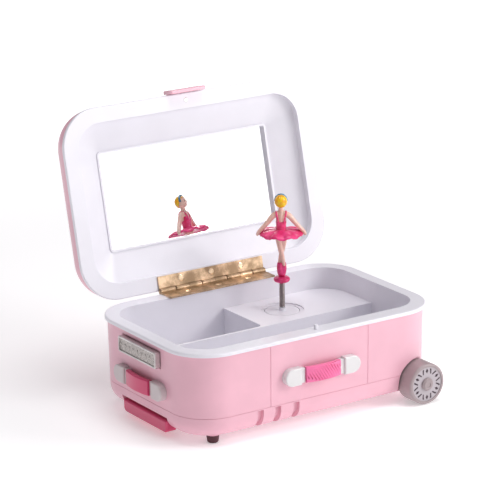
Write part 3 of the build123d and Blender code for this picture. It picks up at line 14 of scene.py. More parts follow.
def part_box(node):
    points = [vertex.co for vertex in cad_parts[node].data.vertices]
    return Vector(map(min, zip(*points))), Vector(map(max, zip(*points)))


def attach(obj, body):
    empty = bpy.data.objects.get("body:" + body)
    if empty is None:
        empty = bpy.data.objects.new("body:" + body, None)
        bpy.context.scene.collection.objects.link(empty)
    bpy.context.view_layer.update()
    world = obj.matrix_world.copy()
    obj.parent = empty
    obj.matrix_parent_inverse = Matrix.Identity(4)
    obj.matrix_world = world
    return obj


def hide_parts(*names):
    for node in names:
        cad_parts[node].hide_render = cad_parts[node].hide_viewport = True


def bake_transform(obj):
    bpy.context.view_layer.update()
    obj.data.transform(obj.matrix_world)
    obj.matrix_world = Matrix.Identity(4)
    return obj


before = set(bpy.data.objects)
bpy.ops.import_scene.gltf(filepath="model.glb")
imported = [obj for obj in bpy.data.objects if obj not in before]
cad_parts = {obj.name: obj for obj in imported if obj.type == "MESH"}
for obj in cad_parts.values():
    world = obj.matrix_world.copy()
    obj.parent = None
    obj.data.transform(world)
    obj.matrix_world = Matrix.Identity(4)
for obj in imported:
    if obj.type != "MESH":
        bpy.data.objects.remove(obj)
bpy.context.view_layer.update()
MM = 0.001
print("frame loaded:", len(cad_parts), "rigid parts")

# %% [markdown]
# ## The camera
# A product picture is taken with a long lens from some way off, so that the box keeps its proportions.
# The camera is built from a direction, a distance and a small roll rather than by hand, because the
# numbers then say what they mean. A slight sideways shift frames the box without turning the camera.

# %% Camera
AZIMUTH, ELEVATION, ROLL = radians(-33.33), radians(16.71), radians(-0.86)
DISTANCE = 1620.1 * MM
TARGET = Vector((-4.53, 1.97, 94.6)) * MM
away = Vector((sin(AZIMUTH) * cos(ELEVATION), -cos(AZIMUTH) * cos(ELEVATION), sin(ELEVATION)))
right = Vector((0, 0, 1)).cross(away).normalized()
up = away.cross(right)
rolled = (cos(ROLL) * right + sin(ROLL) * up, -sin(ROLL) * right + cos(ROLL) * up, away)
camera = bpy.data.objects.new("camera", bpy.data.cameras.new("camera"))
camera.data.lens = 193.7
camera.data.sensor_width = 36.0
camera.data.shift_x = -0.0135
camera.data.clip_end = 100.0
camera.matrix_world = Matrix.Translation(TARGET + away * DISTANCE) @ Matrix(rolled).transposed().to_4x4()
bpy.context.scene.collection.objects.link(camera)
bpy.context.scene.camera = camera
print("camera at", tuple(round(v, 3) for v in camera.matrix_world.translation))

# %% [markdown]
# ## Shader helpers
# A material is a small graph of nodes. Writing the sums of that graph as Python expressions keeps the
# recipe readable, so one class wraps a socket and lets + - * / build Math nodes. Anything that is not
# plain arithmetic goes through its node method.


# %% A socket that can be calculated with
class Value:
    def __init__(self, tree, socket):
        self.tree = tree
        self.socket = socket

    def node(self, kind, inputs, output=0, **settings):
        """Adds any node: its settings first, then values or links for its sockets."""
        made = self.tree.nodes.new(kind)
        for key, setting in settings.items():
            if key == "stops":
                set_stops(made.color_ramp, setting)
            else:
                setattr(made, key, setting)
        for key, value in inputs.items():
            link(self.tree, value, made.inputs[key])
        return Value(self.tree, made.outputs[output])

    def sum_of(self, operation, first, second=0.0):
        return self.node("ShaderNodeMath", {0: first, 1: second}, operation=operation)

    def __add__(self, other):
        return self.sum_of("ADD", self, other)

    def __sub__(self, other):
        return self.sum_of("SUBTRACT", self, other)

    def __rsub__(self, other):
        return self.sum_of("SUBTRACT", other, self)

    def __mul__(self, other):
        return self.sum_of("MULTIPLY", self, other)

    def __truediv__(self, other):
        return self.sum_of("DIVIDE", self, other)

    __radd__ = __add__
    __rmul__ = __mul__

    def smooth(self, low, high):
        """0 below low, 1 above high, with a soft step between."""
        return self.node("ShaderNodeMapRange", {"Value": self, "From Min": low, "From Max": high},
                         interpolation_type="SMOOTHSTEP")

    def noise(self, scale, detail=3.0, rough=0.5):
        return self.node("ShaderNodeTexNoise", {"Vector": self, "Scale": scale, "Detail": detail,
                                                "Roughness": rough})

    def mix(self, mask, low, high):
        """A colour between two others."""
        return self.node("ShaderNodeMix", {"Factor": mask, "A": low, "B": high}, output="Result",
                         data_type="RGBA")

    def bump(self, height, strength, distance):
        return self.node("ShaderNodeBump", {"Height": height, "Strength": strength, "Distance": distance})


def link(tree, value, socket):
    if isinstance(value, Value):
        tree.links.new(value.socket, socket)
    elif isinstance(value, (tuple, list)) and len(value) == 3 and socket.type == "RGBA":
        socket.default_value = (*value, 1.0)
    else:
        socket.default_value = value


def set_stops(ramp, stops):
    while len(ramp.elements) < len(stops):
        ramp.elements.new(1.0)
    for element, (place, colour) in zip(ramp.elements, stops):
        element.position = place
        element.color = (*colour, 1.0)


def new_finish(name):
    """A material, its shader, and the object's own coordinates to paint with."""
    material = bpy.data.materials.new(name)
    material.use_nodes = True
    tree = material.node_tree
    shader = tree.nodes["Principled BSDF"]
    place = Value(tree, tree.nodes.new("ShaderNodeTexCoord").outputs["Object"])
    return material, shader, place


def connect(shader, **sockets):
    tree = shader.id_data
    names = {"base": "Base Color", "rough": "Roughness", "metal": "Metallic", "coat": "Coat Weight",
             "normal": "Normal", "coat_rough": "Coat Roughness", "specular": "Specular IOR Level",
             "subsurface": "Subsurface Weight", "glow": "Emission Color"}
    for key, value in sockets.items():
        link(tree, value, shader.inputs[names[key]])


def tint(colour, amount):
    return tuple(max(0.0, min(1.0, c * amount)) for c in colour)


# %% [markdown]
# ## Moulded plastic
# Nearly all of the box is injection-moulded plastic. Up close it is never one flat colour: the pigment
# clouds a little, handling leaves the gloss uneven, and the skin has a very fine ripple. Three noises
# at different sizes give those three things, and a thin clear coat gives the sharp highlight on top.


# %% Plastic
def plastic(name, colour, rough=0.3, coat=0.3, ripple=0.03, cloud=0.025, worn=0.06):
    material, shader, place = new_finish(name)
    clouds = place.noise(45.0, 4.0)
    wear = place.noise(160.0, 5.0, 0.6)
    grain = place.noise(2600.0, 2.0)
    base = place.mix(clouds.smooth(0.35, 0.65), tint(colour, 1 - cloud), tint(colour, 1 + cloud))
    ripples = place.noise(220.0, 2.0) * 0.7 + grain * 0.3
    connect(shader, base=base, rough=wear * worn + (rough - worn / 2), coat=coat, coat_rough=0.12,
            normal=place.bump(ripples, ripple, 0.0002))
    return material


PINK = (0.850, 0.476, 0.570)
WHITE = (0.840, 0.825, 0.885)
finishes = {
    "pink": plastic("pink_plastic", PINK, 0.34, 0.25),
    "white": plastic("white_plastic", WHITE, 0.30, 0.20, cloud=0.012, ripple=0.01, worn=0.0),
    "off_white": plastic("off_white_plastic", (0.740, 0.735, 0.740), 0.26, 0.35, cloud=0.015),
    # The end caps are pale plastic like the front caps, painted darker and pinker as the shade on the box's
    # shaded end.
    "end_cap_painted_shade": plastic("end_cap_plastic_painted_shade", (0.640, 0.560, 0.570), 0.30, 0.30, cloud=0.015),
    "hot_pink": plastic("hot_pink_plastic", (0.880, 0.160, 0.380), 0.30, 0.40),
    "raspberry": plastic("raspberry_plastic", (0.700, 0.045, 0.160), 0.30, 0.40),
    "wheel": plastic("wheel_plastic", (0.370, 0.300, 0.310), 0.38, 0.30, cloud=0.03),
}
print("plastics:", ", ".join(finishes))


# %% [markdown]
# ## Metals
# The hinge is brass-plated steel with an aged look: warm where it has been rubbed, brown where the
# lacquer has darkened, with fine rolling lines. The clockwork is plainer brass and steel. All of them
# come from one recipe: two colours mixed by a cloudy noise, fine lines along one direction, and a
# roughness that follows the patina.


# %% Metal
def metal(name, bright, dark, rough=0.25, patina=0.5, lines=(1.0, 40.0, 40.0), depth=0.15):
    material, shader, place = new_finish(name)
    clouds = place.noise(95.0, 6.0, 0.65)
    mask = clouds.smooth(0.62 - patina * 0.4, 0.72 - patina * 0.1)
    stretched = place.node("ShaderNodeMapping", {"Vector": place, "Scale": lines})
    brushed = stretched.noise(140.0, 3.0)
    spots = place.noise(900.0, 2.0)
    base = place.mix(mask, dark, bright)
    connect(shader, base=base, metal=1.0, rough=(1 - mask) * 0.18 + brushed * 0.12 + (rough - 0.06),
            normal=place.bump(brushed * 0.6 + spots * 0.4, depth, 0.0002))
    return material


finishes["antique"] = metal("antique_brass", (0.760, 0.550, 0.370), (0.360, 0.250, 0.155), 0.32, 0.60,
                            depth=0.35)
# The screw heads are the hinge's brass painted brighter, a painted highlight on their domes; they are also
# smoother.
finishes["screw"] = metal("antique_screws_painted_highlight", (0.950, 0.760, 0.540), (0.620, 0.460, 0.300), 0.22, 0.8,
                          depth=0.1)
finishes["brass"] = metal("movement_brass", (0.790, 0.610, 0.280), (0.560, 0.400, 0.160), 0.24, 0.9)
finishes["steel"] = metal("bright_steel", (0.700, 0.700, 0.700), (0.450, 0.450, 0.460), 0.22, 0.9)
finishes["spring"] = metal("spring_steel", (0.520, 0.450, 0.445), (0.300, 0.255, 0.250), 0.30, 0.8)
finishes["silver"] = metal("silver_plating", (0.720, 0.690, 0.680), (0.560, 0.530, 0.520), 0.34, 0.8)
print("metals done")

# %% [markdown]
# ## The mirror, the rubber feet and the embossed strip
# A mirror is a perfectly smooth metal behind glass, so it needs almost no texture, only the faintest
# haze from cleaning. Rubber is the opposite: dark, rough and grainy. The nameplate's strip is thin
# foil that sparkles, which a fine noise on its bump and colour gives.

# %% Mirror, rubber and foil
material, shader, place = new_finish("mirror_silver")
haze = place.noise(30.0, 3.0).smooth(0.45, 0.8)
connect(shader, base=(0.93, 0.94, 0.95), metal=1.0, rough=haze * 0.012 + 0.004)
finishes["mirror"] = material

material, shader, place = new_finish("foot_rubber")
crumbs = place.noise(1500.0, 3.0)
connect(shader, base=place.mix(crumbs, (0.055, 0.012, 0.020), (0.110, 0.035, 0.045)),
        rough=crumbs * 0.2 + 0.5, normal=place.bump(crumbs, 0.3, 0.0002))
finishes["rubber"] = material

material, shader, place = new_finish("embossed_foil")
sparkle = place.node("ShaderNodeTexVoronoi", {"Vector": place, "Scale": 1500.0})
shade = place.noise(700.0, 3.0)
embossing = place.mix(shade.smooth(0.35, 0.65), (0.370, 0.340, 0.325), (0.520, 0.480, 0.460))
connect(shader, base=embossing, metal=0.75,
        rough=0.42 - sparkle * 0.25, normal=place.bump(sparkle, 0.45, 0.0002))
finishes["foil"] = material

# %% [markdown]
# ## The printed wheel discs
# Each hub has a pale disc with a dark printed ring. The ring here is a plain ornament of bars and
# diamonds, worked out in polar coordinates round the axle: the angle decides which mark falls in a
# slot, and the distance from the axle how tall it is. Ink is dull, so it is rougher than the disc.

# %% Wheel print
wheel_low, wheel_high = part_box("wheel_front")
wheel_x, wheel_z = (wheel_low[0] + wheel_high[0]) / 2, (wheel_low[2] + wheel_high[2]) / 2
MARKS = 18
RING_R = 8.3                          # millimetres
PITCH = 2 * pi * RING_R / MARKS
LEAN = 0.35                           # sideways run of a bar for each millimetre outwards
BAR_EDGE, BAR_END = (0.42, 0.58), (1.45, 1.65)
material, shader, place = new_finish("wheel_print")
parts = place.tree.nodes.new("ShaderNodeSeparateXYZ")
place.tree.links.new(place.socket, parts.inputs[0])
across = Value(place.tree, parts.outputs["X"]) - wheel_x
above = Value(place.tree, parts.outputs["Z"]) - wheel_z
radius = place.sum_of("SQRT", across * across + above * above) * 1000.0
angle = place.sum_of("ARCTAN2", above, across) / (2 * pi) + 1.0
along = (place.sum_of("FRACT", angle * MARKS) - 0.5) * PITCH
out = radius - RING_R
wide = place.sum_of("ABSOLUTE", along)
tall = place.sum_of("ABSOLUTE", out)
kind = place.sum_of("FRACT", place.sum_of("FLOOR", angle * MARKS) / 3.0)
bar = (1 - place.sum_of("ABSOLUTE", along - out * LEAN).smooth(*BAR_EDGE)) * (1 - tall.smooth(*BAR_END))
counter = (1 - place.sum_of("ABSOLUTE", along + out * LEAN).smooth(*BAR_EDGE)) * (1 - tall.smooth(*BAR_END))
diamond = 1 - (wide + tall * 0.62).smooth(0.92, 1.08)
is_bar = 1 - kind.smooth(0.15, 0.20)
is_diamond = kind.smooth(0.15, 0.20) * (1 - kind.smooth(0.48, 0.52))
mark = bar * is_bar + diamond * is_diamond + counter * kind.smooth(0.48, 0.52)
ink = mark.smooth(0.3, 0.7)
paper = place.noise(60.0, 4.0)
card = place.mix(paper, (0.450, 0.410, 0.440), (0.520, 0.470, 0.505))
connect(shader, base=place.mix(ink, card, (0.035, 0.012, 0.025)), rough=ink * 0.2 + 0.32,
        normal=place.bump(paper * 0.3 + ink * 0.7, 0.12, 0.0001), coat=0.2, coat_rough=0.15)
finishes["wheel_print"] = material
print("wheel marks:", MARKS)


# %% [markdown]
# ## Painted doll parts
# The dancer is a small moulded figure, brushed with glossy paint. Hand-applied paint pools and thins,
# so its colour drifts over a few millimetres, and it has a soft orange-peel gloss.


# %% Doll paint
def paint(name, light, dark, rough=0.28, scale=260.0, depth=0.12, coat=0.5, subsurface=0.0):
    material, shader, place = new_finish(name)
    drift = place.noise(scale, 3.0, 0.55)
    peel = place.noise(1400.0, 2.0)
    connect(shader, base=place.mix(drift.smooth(0.35, 0.65), dark, light),
            rough=peel * 0.12 + (rough - 0.06),
            coat=coat, coat_rough=0.1, normal=place.bump(peel * 0.5 + drift * 0.5, depth, 0.0002),
            subsurface=subsurface)
    if subsurface:
        shader.inputs["Subsurface Radius"].default_value = (1.0, 0.4, 0.25)
        shader.inputs["Subsurface Scale"].default_value = 0.0012
    return material


finishes["skin"] = paint("skin_paint", (0.900, 0.610, 0.510), (0.840, 0.520, 0.430), 0.36, coat=0.2,
                         subsurface=0.15)
finishes["dress"] = paint("dress_paint", (0.880, 0.060, 0.250), (0.720, 0.022, 0.140), 0.36, coat=0.15)
finishes["hair"] = paint("hair_paint", (0.960, 0.640, 0.006), (0.880, 0.370, 0.004), 0.34, scale=420.0,
                         coat=0.15)
finishes["band"] = paint("band_paint", (0.110, 0.330, 0.520), (0.050, 0.170, 0.270), 0.28)
finishes["lips"] = paint("lip_paint", (0.640, 0.060, 0.100), (0.520, 0.040, 0.080), 0.30)
finishes["ink"] = paint("eye_paint", (0.050, 0.025, 0.020), (0.020, 0.010, 0.010), 0.25)
print("finishes:", len(finishes))

# %% [markdown]
# ## Dressing the rigid parts
# Every rigid part keeps the shape it was designed with and only receives a finish, by name.

# %% Finish for every rigid part
DRESSED = {
    "pink": ["case_body", "bottom_pan", "lid_shell", "lid_latch"],
    "white": ["inner_tray", "lid_liner", "turntable_disc", "stop_pin"],
    "off_white": ["front_handle_cap_left", "front_handle_cap_right", "trolley_stop_bar"],
    # The end caps take the finish painted darker as shade.
    "end_cap_painted_shade": ["end_handle_cap_front", "end_handle_cap_back"],
    "hot_pink": ["front_handle_grip"],
    "raspberry": ["end_handle_grip", "trolley_grip"],
    "wheel": ["wheel_front", "wheel_back", "hub_cap_front", "hub_cap_back"],
    "wheel_print": ["wheel_label_front", "wheel_label_back"],
    "silver": ["nameplate_frame", "lid_screw"],
    "foil": ["nameplate_panel"],
    "mirror": ["mirror"],
    "rubber": ["foot_front", "foot_back"],
    "antique": ["hinge_lower_leaf", "hinge_upper_leaf", "hinge_pin"],
    "screw": ["hinge_lower_screws", "hinge_upper_screws"],
    "brass": ["bedplate", "spring_barrel", "bearing_plates", "pinned_cylinder", "idler_arbor", "governor",
              "governor_bracket", "spindle_collar"],
    "steel": ["case_screws", "handle_screws", "wheel_axle", "trolley_rods", "winding_key", "winding_arbor",
              "spindle", "movement_screws", "comb_screws", "stop_lever"],
    "spring": ["comb", "mainspring", "dancer_spring"],
    "dress": ["dancer_base", "dancer_shoes", "dancer_dress"],
    "skin": ["dancer_figure"],
    "hair": ["dancer_hair"],
    "band": ["dancer_headband"],
}
for finish, names in DRESSED.items():
    for name in names:
        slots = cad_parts[name].data.materials
        slots.clear()
        slots.append(finishes[finish])
print("dressed", sum(len(names) for names in DRESSED.values()), "rigid parts")

# %% [markdown]
# ## Measures of the dancer
# Her pieces take their places from the rigid stand-ins: the base gives her axis and her feet, and the
# dress gives the middle of the skirt, from which her shoulders and head are set.

# %% Dancer's measures
base_low, base_high = [Vector(corner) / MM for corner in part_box("dancer_base")]
dress_low, dress_high = [Vector(corner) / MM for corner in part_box("dancer_dress")]
spring_low, spring_high = [Vector(corner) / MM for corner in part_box("dancer_spring")]
AXIS_X, AXIS_Y = (base_low.x + base_high.x) / 2, (base_low.y + base_high.y) / 2
FLOOR_Z = base_high.z                 # where her shoes stand
SKIRT_R = (dress_high.x - dress_low.x) / 2
SKIRT_Z = dress_low.z + 3.6
SHOULDER_Z = SKIRT_Z + 13.1
HEAD_Z = SKIRT_Z + 19.5
SKIN_VOXEL = 0.22                     # grain of the fused skins
LOOKS = radians(-33.0)                # she looks towards the back right of the box
to_dancer = (Matrix.Translation((AXIS_X * MM, AXIS_Y * MM, 0)) @ Matrix.Rotation(LOOKS, 4, "Z")
             @ Matrix.Scale(MM, 4))
print("dancer stands at", round(AXIS_X, 1), round(AXIS_Y, 1), "skirt radius", round(SKIRT_R, 1))


# %% [markdown]
# ## Helpers for sculpted pieces
# A small figure is easiest to block out with curves whose points carry their own thickness, as wire
# armatures do for a sculptor. The curves become a mesh, and a voxel remesh fuses them into one skin,
# which a smooth modifier then softens.


# %% Curve limbs and fused skins
def keep(name, mesh, finish, body, *replaced, slot):
    """Turns a placed mesh into a finished piece that rides on a body, if one is given."""
    piece = bpy.data.objects.new(name, mesh)
    bpy.context.scene.collection.objects.link(piece)
    mesh.materials.clear()
    mesh.materials.append(finishes[finish])
    if body:
        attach(piece, body)
    if replaced:
        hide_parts(*replaced)
    return piece


def limb_mesh(*limbs):
    """Smooth limbs; each is a list of (x, y, z, radius) points."""
    curve = bpy.data.curves.new("limbs", "CURVE")
    curve.dimensions = "3D"
    curve.bevel_depth = 1.0
    curve.bevel_resolution = 4
    curve.use_fill_caps = True
    for points in limbs:
        spline = curve.splines.new("NURBS")
        spline.points.add(len(points) - 1)
        for point, (x, y, z, thick) in zip(spline.points, points):
            point.co = (x, y, z, 1.0)
            point.radius = thick
        spline.order_u = 3
        spline.use_endpoint_u = True
        spline.resolution_u = 6
    return evaluated(bpy.data.objects.new("limbs", curve))


def evaluated(source):
    """The mesh of an object with its curve or modifiers worked out."""
    bpy.context.scene.collection.objects.link(source)
    bpy.context.view_layer.update()
    depsgraph = bpy.context.evaluated_depsgraph_get()
    mesh = bpy.data.meshes.new_from_object(source.evaluated_get(depsgraph))
    bpy.data.objects.remove(source)
    return mesh


def ball(mesh_from, place, size, turn=None):
    """Adds an egg of three sizes to a bmesh."""
    spin = turn if turn is not None else Matrix.Identity(4)
    matrix = Matrix.Translation(place) @ spin @ Matrix.Diagonal((*size, 1.0))
    return bmesh.ops.create_uvsphere(mesh_from, u_segments=32, v_segments=20, radius=1.0, matrix=matrix)


def fused(name, sources, voxel, smoothing):
    """Joins loose meshes into one continuous skin, in the dancer's millimetres, then places it."""
    joined = bmesh.new()
    for source in sources:
        joined.from_mesh(source)
    mesh = bpy.data.meshes.new(name)
    joined.to_mesh(mesh)
    joined.free()
    draft = bpy.data.objects.new(name, mesh)
    remesh = draft.modifiers.new("fuse", "REMESH")
    remesh.mode = "VOXEL"
    remesh.voxel_size = voxel
    remesh.use_smooth_shade = True
    soften = draft.modifiers.new("soften", "SMOOTH")
    soften.factor = 0.5
    soften.iterations = smoothing
    result = evaluated(draft)
    result.transform(to_dancer)
    result.shade_smooth()
    return result


def from_bmesh(name, work, place=to_dancer, smooth=True):
    bmesh.ops.recalc_face_normals(work, faces=work.faces)
    mesh = bpy.data.meshes.new(name)
    work.to_mesh(mesh)
    work.free()
    mesh.transform(place)
    if smooth:
        mesh.shade_smooth()
    return mesh


# %% [markdown]
# ## The spring she stands on
# The dancer stands on a close-wound coil, so that she can bow under the closing lid and stand up
# again. A coil is a circle of wire swept along a helix: bmesh's spin does both at once when it is
# given a rise for each step.

# %% Dancer's spring
WIRE_R = 0.30
COIL_R = 1.45
COIL_PITCH = 0.66
STEPS = 16
coil_turns = (spring_high.z - spring_low.z - 2 * WIRE_R) / COIL_PITCH
coil = bmesh.new()
ring_place = Matrix.Translation((COIL_R, 0, spring_low.z + WIRE_R)) @ Matrix.Rotation(pi / 2, 4, "X")
bmesh.ops.create_circle(coil, segments=8, radius=WIRE_R, matrix=ring_place, cap_ends=True)
bmesh.ops.spin(coil, geom=coil.verts[:] + coil.edges[:] + coil.faces[:], cent=(0, 0, 0), axis=(0, 0, 1),
               dvec=(0, 0, COIL_PITCH / STEPS), angle=2 * pi * coil_turns, steps=int(coil_turns * STEPS))
coil_piece = keep("dancer_spring_coil", from_bmesh("dancer_spring_coil", coil), "spring", None,
                  "dancer_spring", slot="spring_steel")
print("coil of", round(coil_turns, 1), "turns")

# %% [markdown]
# ## Base and legwarmers
# Under her feet is a rounded button, and over her ankles a pair of thick legwarmers, all painted the
# same deep pink. The button is a lathe profile spun round, and the legwarmers are two fat limbs fused
# into one.

# %% Base and shoes
profile = [(0.0, base_low.z), (3.4, base_low.z), (4.8, base_low.z + 0.6), (5.2, base_low.z + 1.8),
           (4.9, base_low.z + 2.9), (3.6, base_low.z + 3.6), (0.0, base_low.z + 3.7)]
button = bmesh.new()
rim = [button.verts.new((x, 0, z)) for x, z in profile]
for first, second in zip(rim[:-1], rim[1:]):
    button.edges.new((first, second))
bmesh.ops.spin(button, geom=button.verts[:] + button.edges[:], cent=(0, 0, 0), axis=(0, 0, 1), angle=2 * pi,
               steps=48, use_merge=True)
bmesh.ops.remove_doubles(button, verts=button.verts, dist=0.001)
button_piece = keep("dancer_base_button", from_bmesh("dancer_base_button", button), "dress", "dancer",
                    "dancer_base", slot="dress_paint")
soften = button_piece.modifiers.new("round", "SUBSURF")
soften.levels = soften.render_levels = 1

LEFT_FOOT = [(-0.7, 1.6, FLOOR_Z + 0.6, 1.1), (-0.7, 0.2, FLOOR_Z + 1.2, 1.7),
             (-0.9, -0.2, FLOOR_Z + 3.2, 2.0),
             (-1.1, 0.0, FLOOR_Z + 6.6, 2.1), (-1.0, 0.0, FLOOR_Z + 9.2, 1.6)]
RIGHT_FOOT = [(-x, 0.35 - y, z, r) for x, y, z, r in LEFT_FOOT]
shoes = fused("dancer_legwarmers", [limb_mesh(LEFT_FOOT, RIGHT_FOOT)], SKIN_VOXEL, 3)
keep("dancer_legwarmers", shoes, "dress", "dancer", "dancer_shoes", slot="dress_paint")

# %% [markdown]
# ## The figure
# Her legs cross at the knee, her bare back shows between the straps, and her arms slope down to the
# edge of the skirt. All of it is one skin in the real moulding, so it is blocked out with limbs and an
# egg for the head, and fused. Her face is a plain doll's face: a small nose and a soft chin.

# %% Skin of the figure
LEG_LOW = FLOOR_Z + 7.0
figure_limbs = [
    [(1.4, -0.4, LEG_LOW, 1.1), (0.8, -0.7, LEG_LOW + 5.5, 1.3), (-1.1, -0.5, LEG_LOW + 12.0, 1.75),
     (-1.9, 0.0, SKIRT_Z - 0.5, 2.3)],
    [(-1.4, 0.4, LEG_LOW, 1.1), (-0.8, 0.7, LEG_LOW + 5.5, 1.3), (1.1, 0.5, LEG_LOW + 12.0, 1.75),
     (1.9, 0.0, SKIRT_Z - 0.5, 2.3)],
    [(0, 0, SKIRT_Z - 1, 3.1), (0, 0, SKIRT_Z + 3, 2.5), (0, 0.1, SKIRT_Z + 8, 2.9),
     (0, 0.1, SHOULDER_Z - 1.0, 2.8), (0, 0, SHOULDER_Z + 0.8, 1.5), (0, 0.1, HEAD_Z - 1.5, 1.25)],
]
for side in (-1, 1):
    figure_limbs.append([(side * 1.4, 0, SHOULDER_Z - 1.0, 2.0), (side * 4.3, 0, SHOULDER_Z - 1.3, 1.85),
                         (side * 7.9, -0.4, SHOULDER_Z - 6.0, 1.6), (side * 12.2, -0.2, SKIRT_Z + 2.4, 1.3),
                         (side * 14.4, 0.2, SKIRT_Z - 0.2, 1.25), (side * 15.0, 0.4, SKIRT_Z - 1.8, 0.8)])
head = bmesh.new()
ball(head, (0, 0.35, HEAD_Z), (3.15, 3.45, 3.75))
ball(head, (0, 2.2, HEAD_Z - 2.1), (1.5, 1.35, 1.3))
ball(head, (0, 3.75, HEAD_Z - 0.4), (0.38, 0.55, 0.7))
head_mesh = bpy.data.meshes.new("head")
head.to_mesh(head_mesh)
head.free()
figure = fused("dancer_skin", [limb_mesh(*figure_limbs), head_mesh], 0.2, 4)
keep("dancer_skin", figure, "skin", "dancer", "dancer_figure", slot="skin_paint")
print("figure faces:", len(figure.polygons))

# %% [markdown]
# ## Tutu, bodice and straps
# The skirt is a stiff moulded tutu: a shallow disc that dips towards its edge in big soft folds. One
# profile is spun into a disc, and then each vertex is lifted by a wave that grows towards the rim, so
# that the folds open out like petals. The bodice is a short fat limb, low at the back and high at the
# front, and two thin straps run over the shoulders.

# %% Dress
FOLDS = 9
skirt = bmesh.new()
outline = [(2.2, 2.6), (3.6, 2.1), (7.0, 1.8), (10.5, 1.3), (12.8, 0.6), (13.9, -0.4), (14.0, -1.2),
           (13.2, -1.3), (10.0, -0.7), (6.5, -0.6), (3.0, -0.9), (1.0, -0.9)]
rim = [skirt.verts.new((r, 0, SKIRT_Z + z)) for r, z in outline]
for first, second in zip(rim, rim[1:] + rim[:1]):
    skirt.edges.new((first, second))
bmesh.ops.spin(skirt, geom=skirt.verts[:] + skirt.edges[:], cent=(0, 0, 0), axis=(0, 0, 1), angle=2 * pi,
               steps=144, use_merge=True)
bmesh.ops.remove_doubles(skirt, verts=skirt.verts, dist=0.001)
for vert in skirt.verts:
    turn = atan2(vert.co.y, vert.co.x)
    reach = (sqrt(vert.co.x ** 2 + vert.co.y ** 2) - 3.0) / 11.0
    reach = max(0.0, reach) ** 1.6
    wave = sin(FOLDS * turn + 0.5 * sin(2 * turn + 1))
    small = sin(3 * FOLDS * turn)
    vert.co.z += reach * (0.62 * wave + 0.14 * small)
    pull = 1 - reach * 0.022 * (1 - wave)
    vert.co.x *= pull
    vert.co.y *= pull
tutu = keep("dancer_tutu", from_bmesh("dancer_tutu", skirt), "dress", "dancer", "dancer_dress",
            slot="dress_paint")
smoother = tutu.modifiers.new("round", "SUBSURF")
smoother.levels = smoother.render_levels = 1

waist = [(0, 0, SKIRT_Z + 0.4, 3.4), (0, 0, SKIRT_Z + 2.6, 2.95), (0, 0, SKIRT_Z + 5.0, 3.15),
         (0, 0.15, SKIRT_Z + 7.2, 3.35)]
chest = [(-1.3, 1.25, SKIRT_Z + 7.0, 2.0), (-1.2, 1.3, SKIRT_Z + 9.8, 1.75)]
chest_right = [(-x, y, z, r) for x, y, z, r in chest]
bodice = fused("dancer_bodice", [limb_mesh(waist, chest, chest_right)], SKIN_VOXEL, 3)
keep("dancer_bodice", bodice, "dress", "dancer", slot="dress_paint")
straps = []
for side in (-1, 1):
    straps.append([(side * 1.6, -2.7, SKIRT_Z + 6.6, 0.45), (side * 2.2, -3.1, SKIRT_Z + 9.6, 0.45),
                   (side * 3.1, -2.2, SHOULDER_Z - 0.4, 0.5), (side * 3.1, 0.0, SHOULDER_Z + 0.8, 0.5),
                   (side * 2.4, 2.2, SHOULDER_Z - 0.9, 0.42), (side * 1.6, 2.9, SKIRT_Z + 9.4, 0.42)])
strap_mesh = limb_mesh(*straps)
strap_mesh.transform(to_dancer)
strap_mesh.shade_smooth()
keep("dancer_straps", strap_mesh, "dress", "dancer", slot="dress_paint")

# %% [markdown]
# ## Hair, headband and face
# Her hair is one smooth gathered cap, and a blue band with a low crest sits across the front of it.
# Combed strands are shallow grooves, so the cap's vertices are pushed in and out by a wave that runs
# round the head. The eyes and lips are tiny raised drops of paint.

# %% Hair and face
CAP_MIDDLE = Vector((0, -0.35, HEAD_Z + 0.5))
hair = bmesh.new()
ball(hair, CAP_MIDDLE, (3.9, 3.95, 4.1))
bmesh.ops.subdivide_edges(hair, edges=hair.edges[:], cuts=1, use_grid_fill=True)
for vert in hair.verts:
    off = vert.co - CAP_MIDDLE
    strand = 1 + 0.018 * sin(13 * atan2(off.x, off.z))
    vert.co = CAP_MIDDLE + off * strand
bmesh.ops.bisect_plane(hair, geom=hair.verts[:] + hair.edges[:] + hair.faces[:],
                       plane_co=(0, 1.15, HEAD_Z + 1.6), plane_no=Vector((0, 1, -0.62)).normalized(),
                       clear_outer=True)
bmesh.ops.holes_fill(hair, edges=[e for e in hair.edges if e.is_boundary], sides=0)
hair_mesh = from_bmesh("dancer_hair_cap", hair)
keep("dancer_hair_cap", hair_mesh, "hair", "dancer", "dancer_hair", slot="hair_paint")

band = bmesh.new()
crest_path = Matrix.Translation((0, 1.3, HEAD_Z + 0.6)) @ Matrix.Rotation(radians(8), 4, "X")
for k in range(25):
    turn = pi * (k / 24)
    crest = 0.35 + 0.55 * sin(turn) ** 6 + 0.12 * cos(10 * turn)
    spot = crest_path @ Vector((3.65 * cos(turn), 0, 3.95 * sin(turn)))
    ball(band, spot, (0.42, 0.8, 0.42 + crest * 0.4), Matrix.Rotation(pi / 2 - turn, 4, "Y"))
band_mesh = bpy.data.meshes.new("band")
band.to_mesh(band_mesh)
band.free()
keep("dancer_tiara", fused("dancer_tiara", [band_mesh], 0.18, 2), "band", "dancer", "dancer_headband",
     slot="band_paint")

eyes = bmesh.new()
for side in (-1, 1):
    ball(eyes, (side * 1.25, 3.42, HEAD_Z + 0.25), (0.42, 0.20, 0.30))
    ball(eyes, (side * 1.3, 3.30, HEAD_Z + 1.0), (0.62, 0.16, 0.09))
keep("dancer_eyes", from_bmesh("dancer_eyes", eyes), "ink", "dancer", slot="skin_paint")
mouth = bmesh.new()
ball(mouth, (0, 3.42, HEAD_Z - 1.75), (0.55, 0.28, 0.22))
keep("dancer_lips", from_bmesh("dancer_lips", mouth), "lips", "dancer", slot="dress_paint")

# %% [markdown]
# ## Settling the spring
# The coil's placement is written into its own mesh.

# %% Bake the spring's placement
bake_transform(coil_piece)

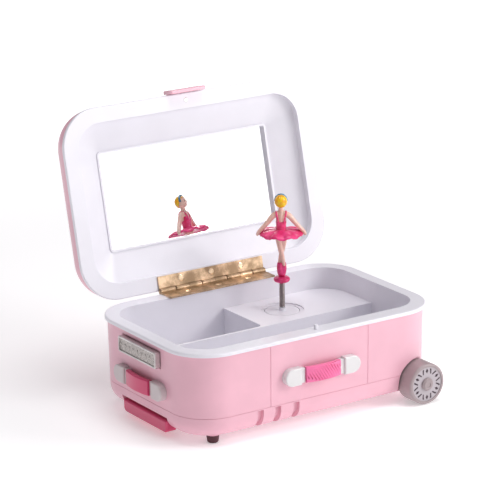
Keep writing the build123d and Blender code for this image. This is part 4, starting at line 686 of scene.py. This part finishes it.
# %% [markdown]
# ## Floor and light
# Small pink products are shown on white under soft light. A small softbox near the front right corner
# gives the bright front and the shaded end, a large card behind it whitens the mirror, one above opens
# up the trays, and a pale world lights everything else.

# %% Stage
ground = bmesh.new()
bmesh.ops.create_grid(ground, x_segments=1, y_segments=1, size=6.0)
floor_mesh = bpy.data.meshes.new("floor")
ground.to_mesh(floor_mesh)
ground.free()
floor = bpy.data.objects.new("floor", floor_mesh)
floor.location.z = -0.0002
bpy.context.scene.collection.objects.link(floor)
material, shader, place = new_finish("pale_floor")
far = place.node("ShaderNodeVectorMath", {0: place}, output="Value", operation="LENGTH").smooth(0.35, 1.0)
NEAR_GLOW, FAR_GLOW = (0.32, 0.32, 0.32), (0.90, 0.90, 0.90)
connect(shader, base=(0.92, 0.92, 0.925), rough=0.8, glow=far.mix(far, NEAR_GLOW, FAR_GLOW))
shader.inputs["Emission Strength"].default_value = 1.0
floor_mesh.materials.append(material)


def softbox(name, place, size, power, colour):
    lamp = bpy.data.lights.new(name, "AREA")
    lamp.shape = "RECTANGLE"
    lamp.size, lamp.size_y = size
    lamp.energy = power
    lamp.color = colour
    holder = bpy.data.objects.new(name, lamp)
    aim = Vector((0, 0, 0.06)) - Vector(place)
    holder.matrix_world = Matrix.Translation(place) @ aim.to_track_quat("-Z", "Y").to_matrix().to_4x4()
    bpy.context.scene.collection.objects.link(holder)


softbox("key", (0.62, -0.62, 0.50), (0.35, 0.35), 3.4, (1.0, 0.985, 0.975))
softbox("card", (1.25, -1.75, 0.75), (1.9, 1.3), 9.5, (1.0, 0.99, 0.985))
softbox("top", (0.1, -0.2, 1.7), (1.0, 1.0), 13.0, (1.0, 0.99, 1.0))
world = bpy.data.worlds.new("studio")
world.use_nodes = True
world.node_tree.nodes["Background"].inputs["Color"].default_value = (0.985, 0.965, 1.0, 1.0)
world.node_tree.nodes["Background"].inputs["Strength"].default_value = 0.27
bpy.context.scene.world = world
bpy.context.scene.view_settings.view_transform = "Standard"
print("stage ready")
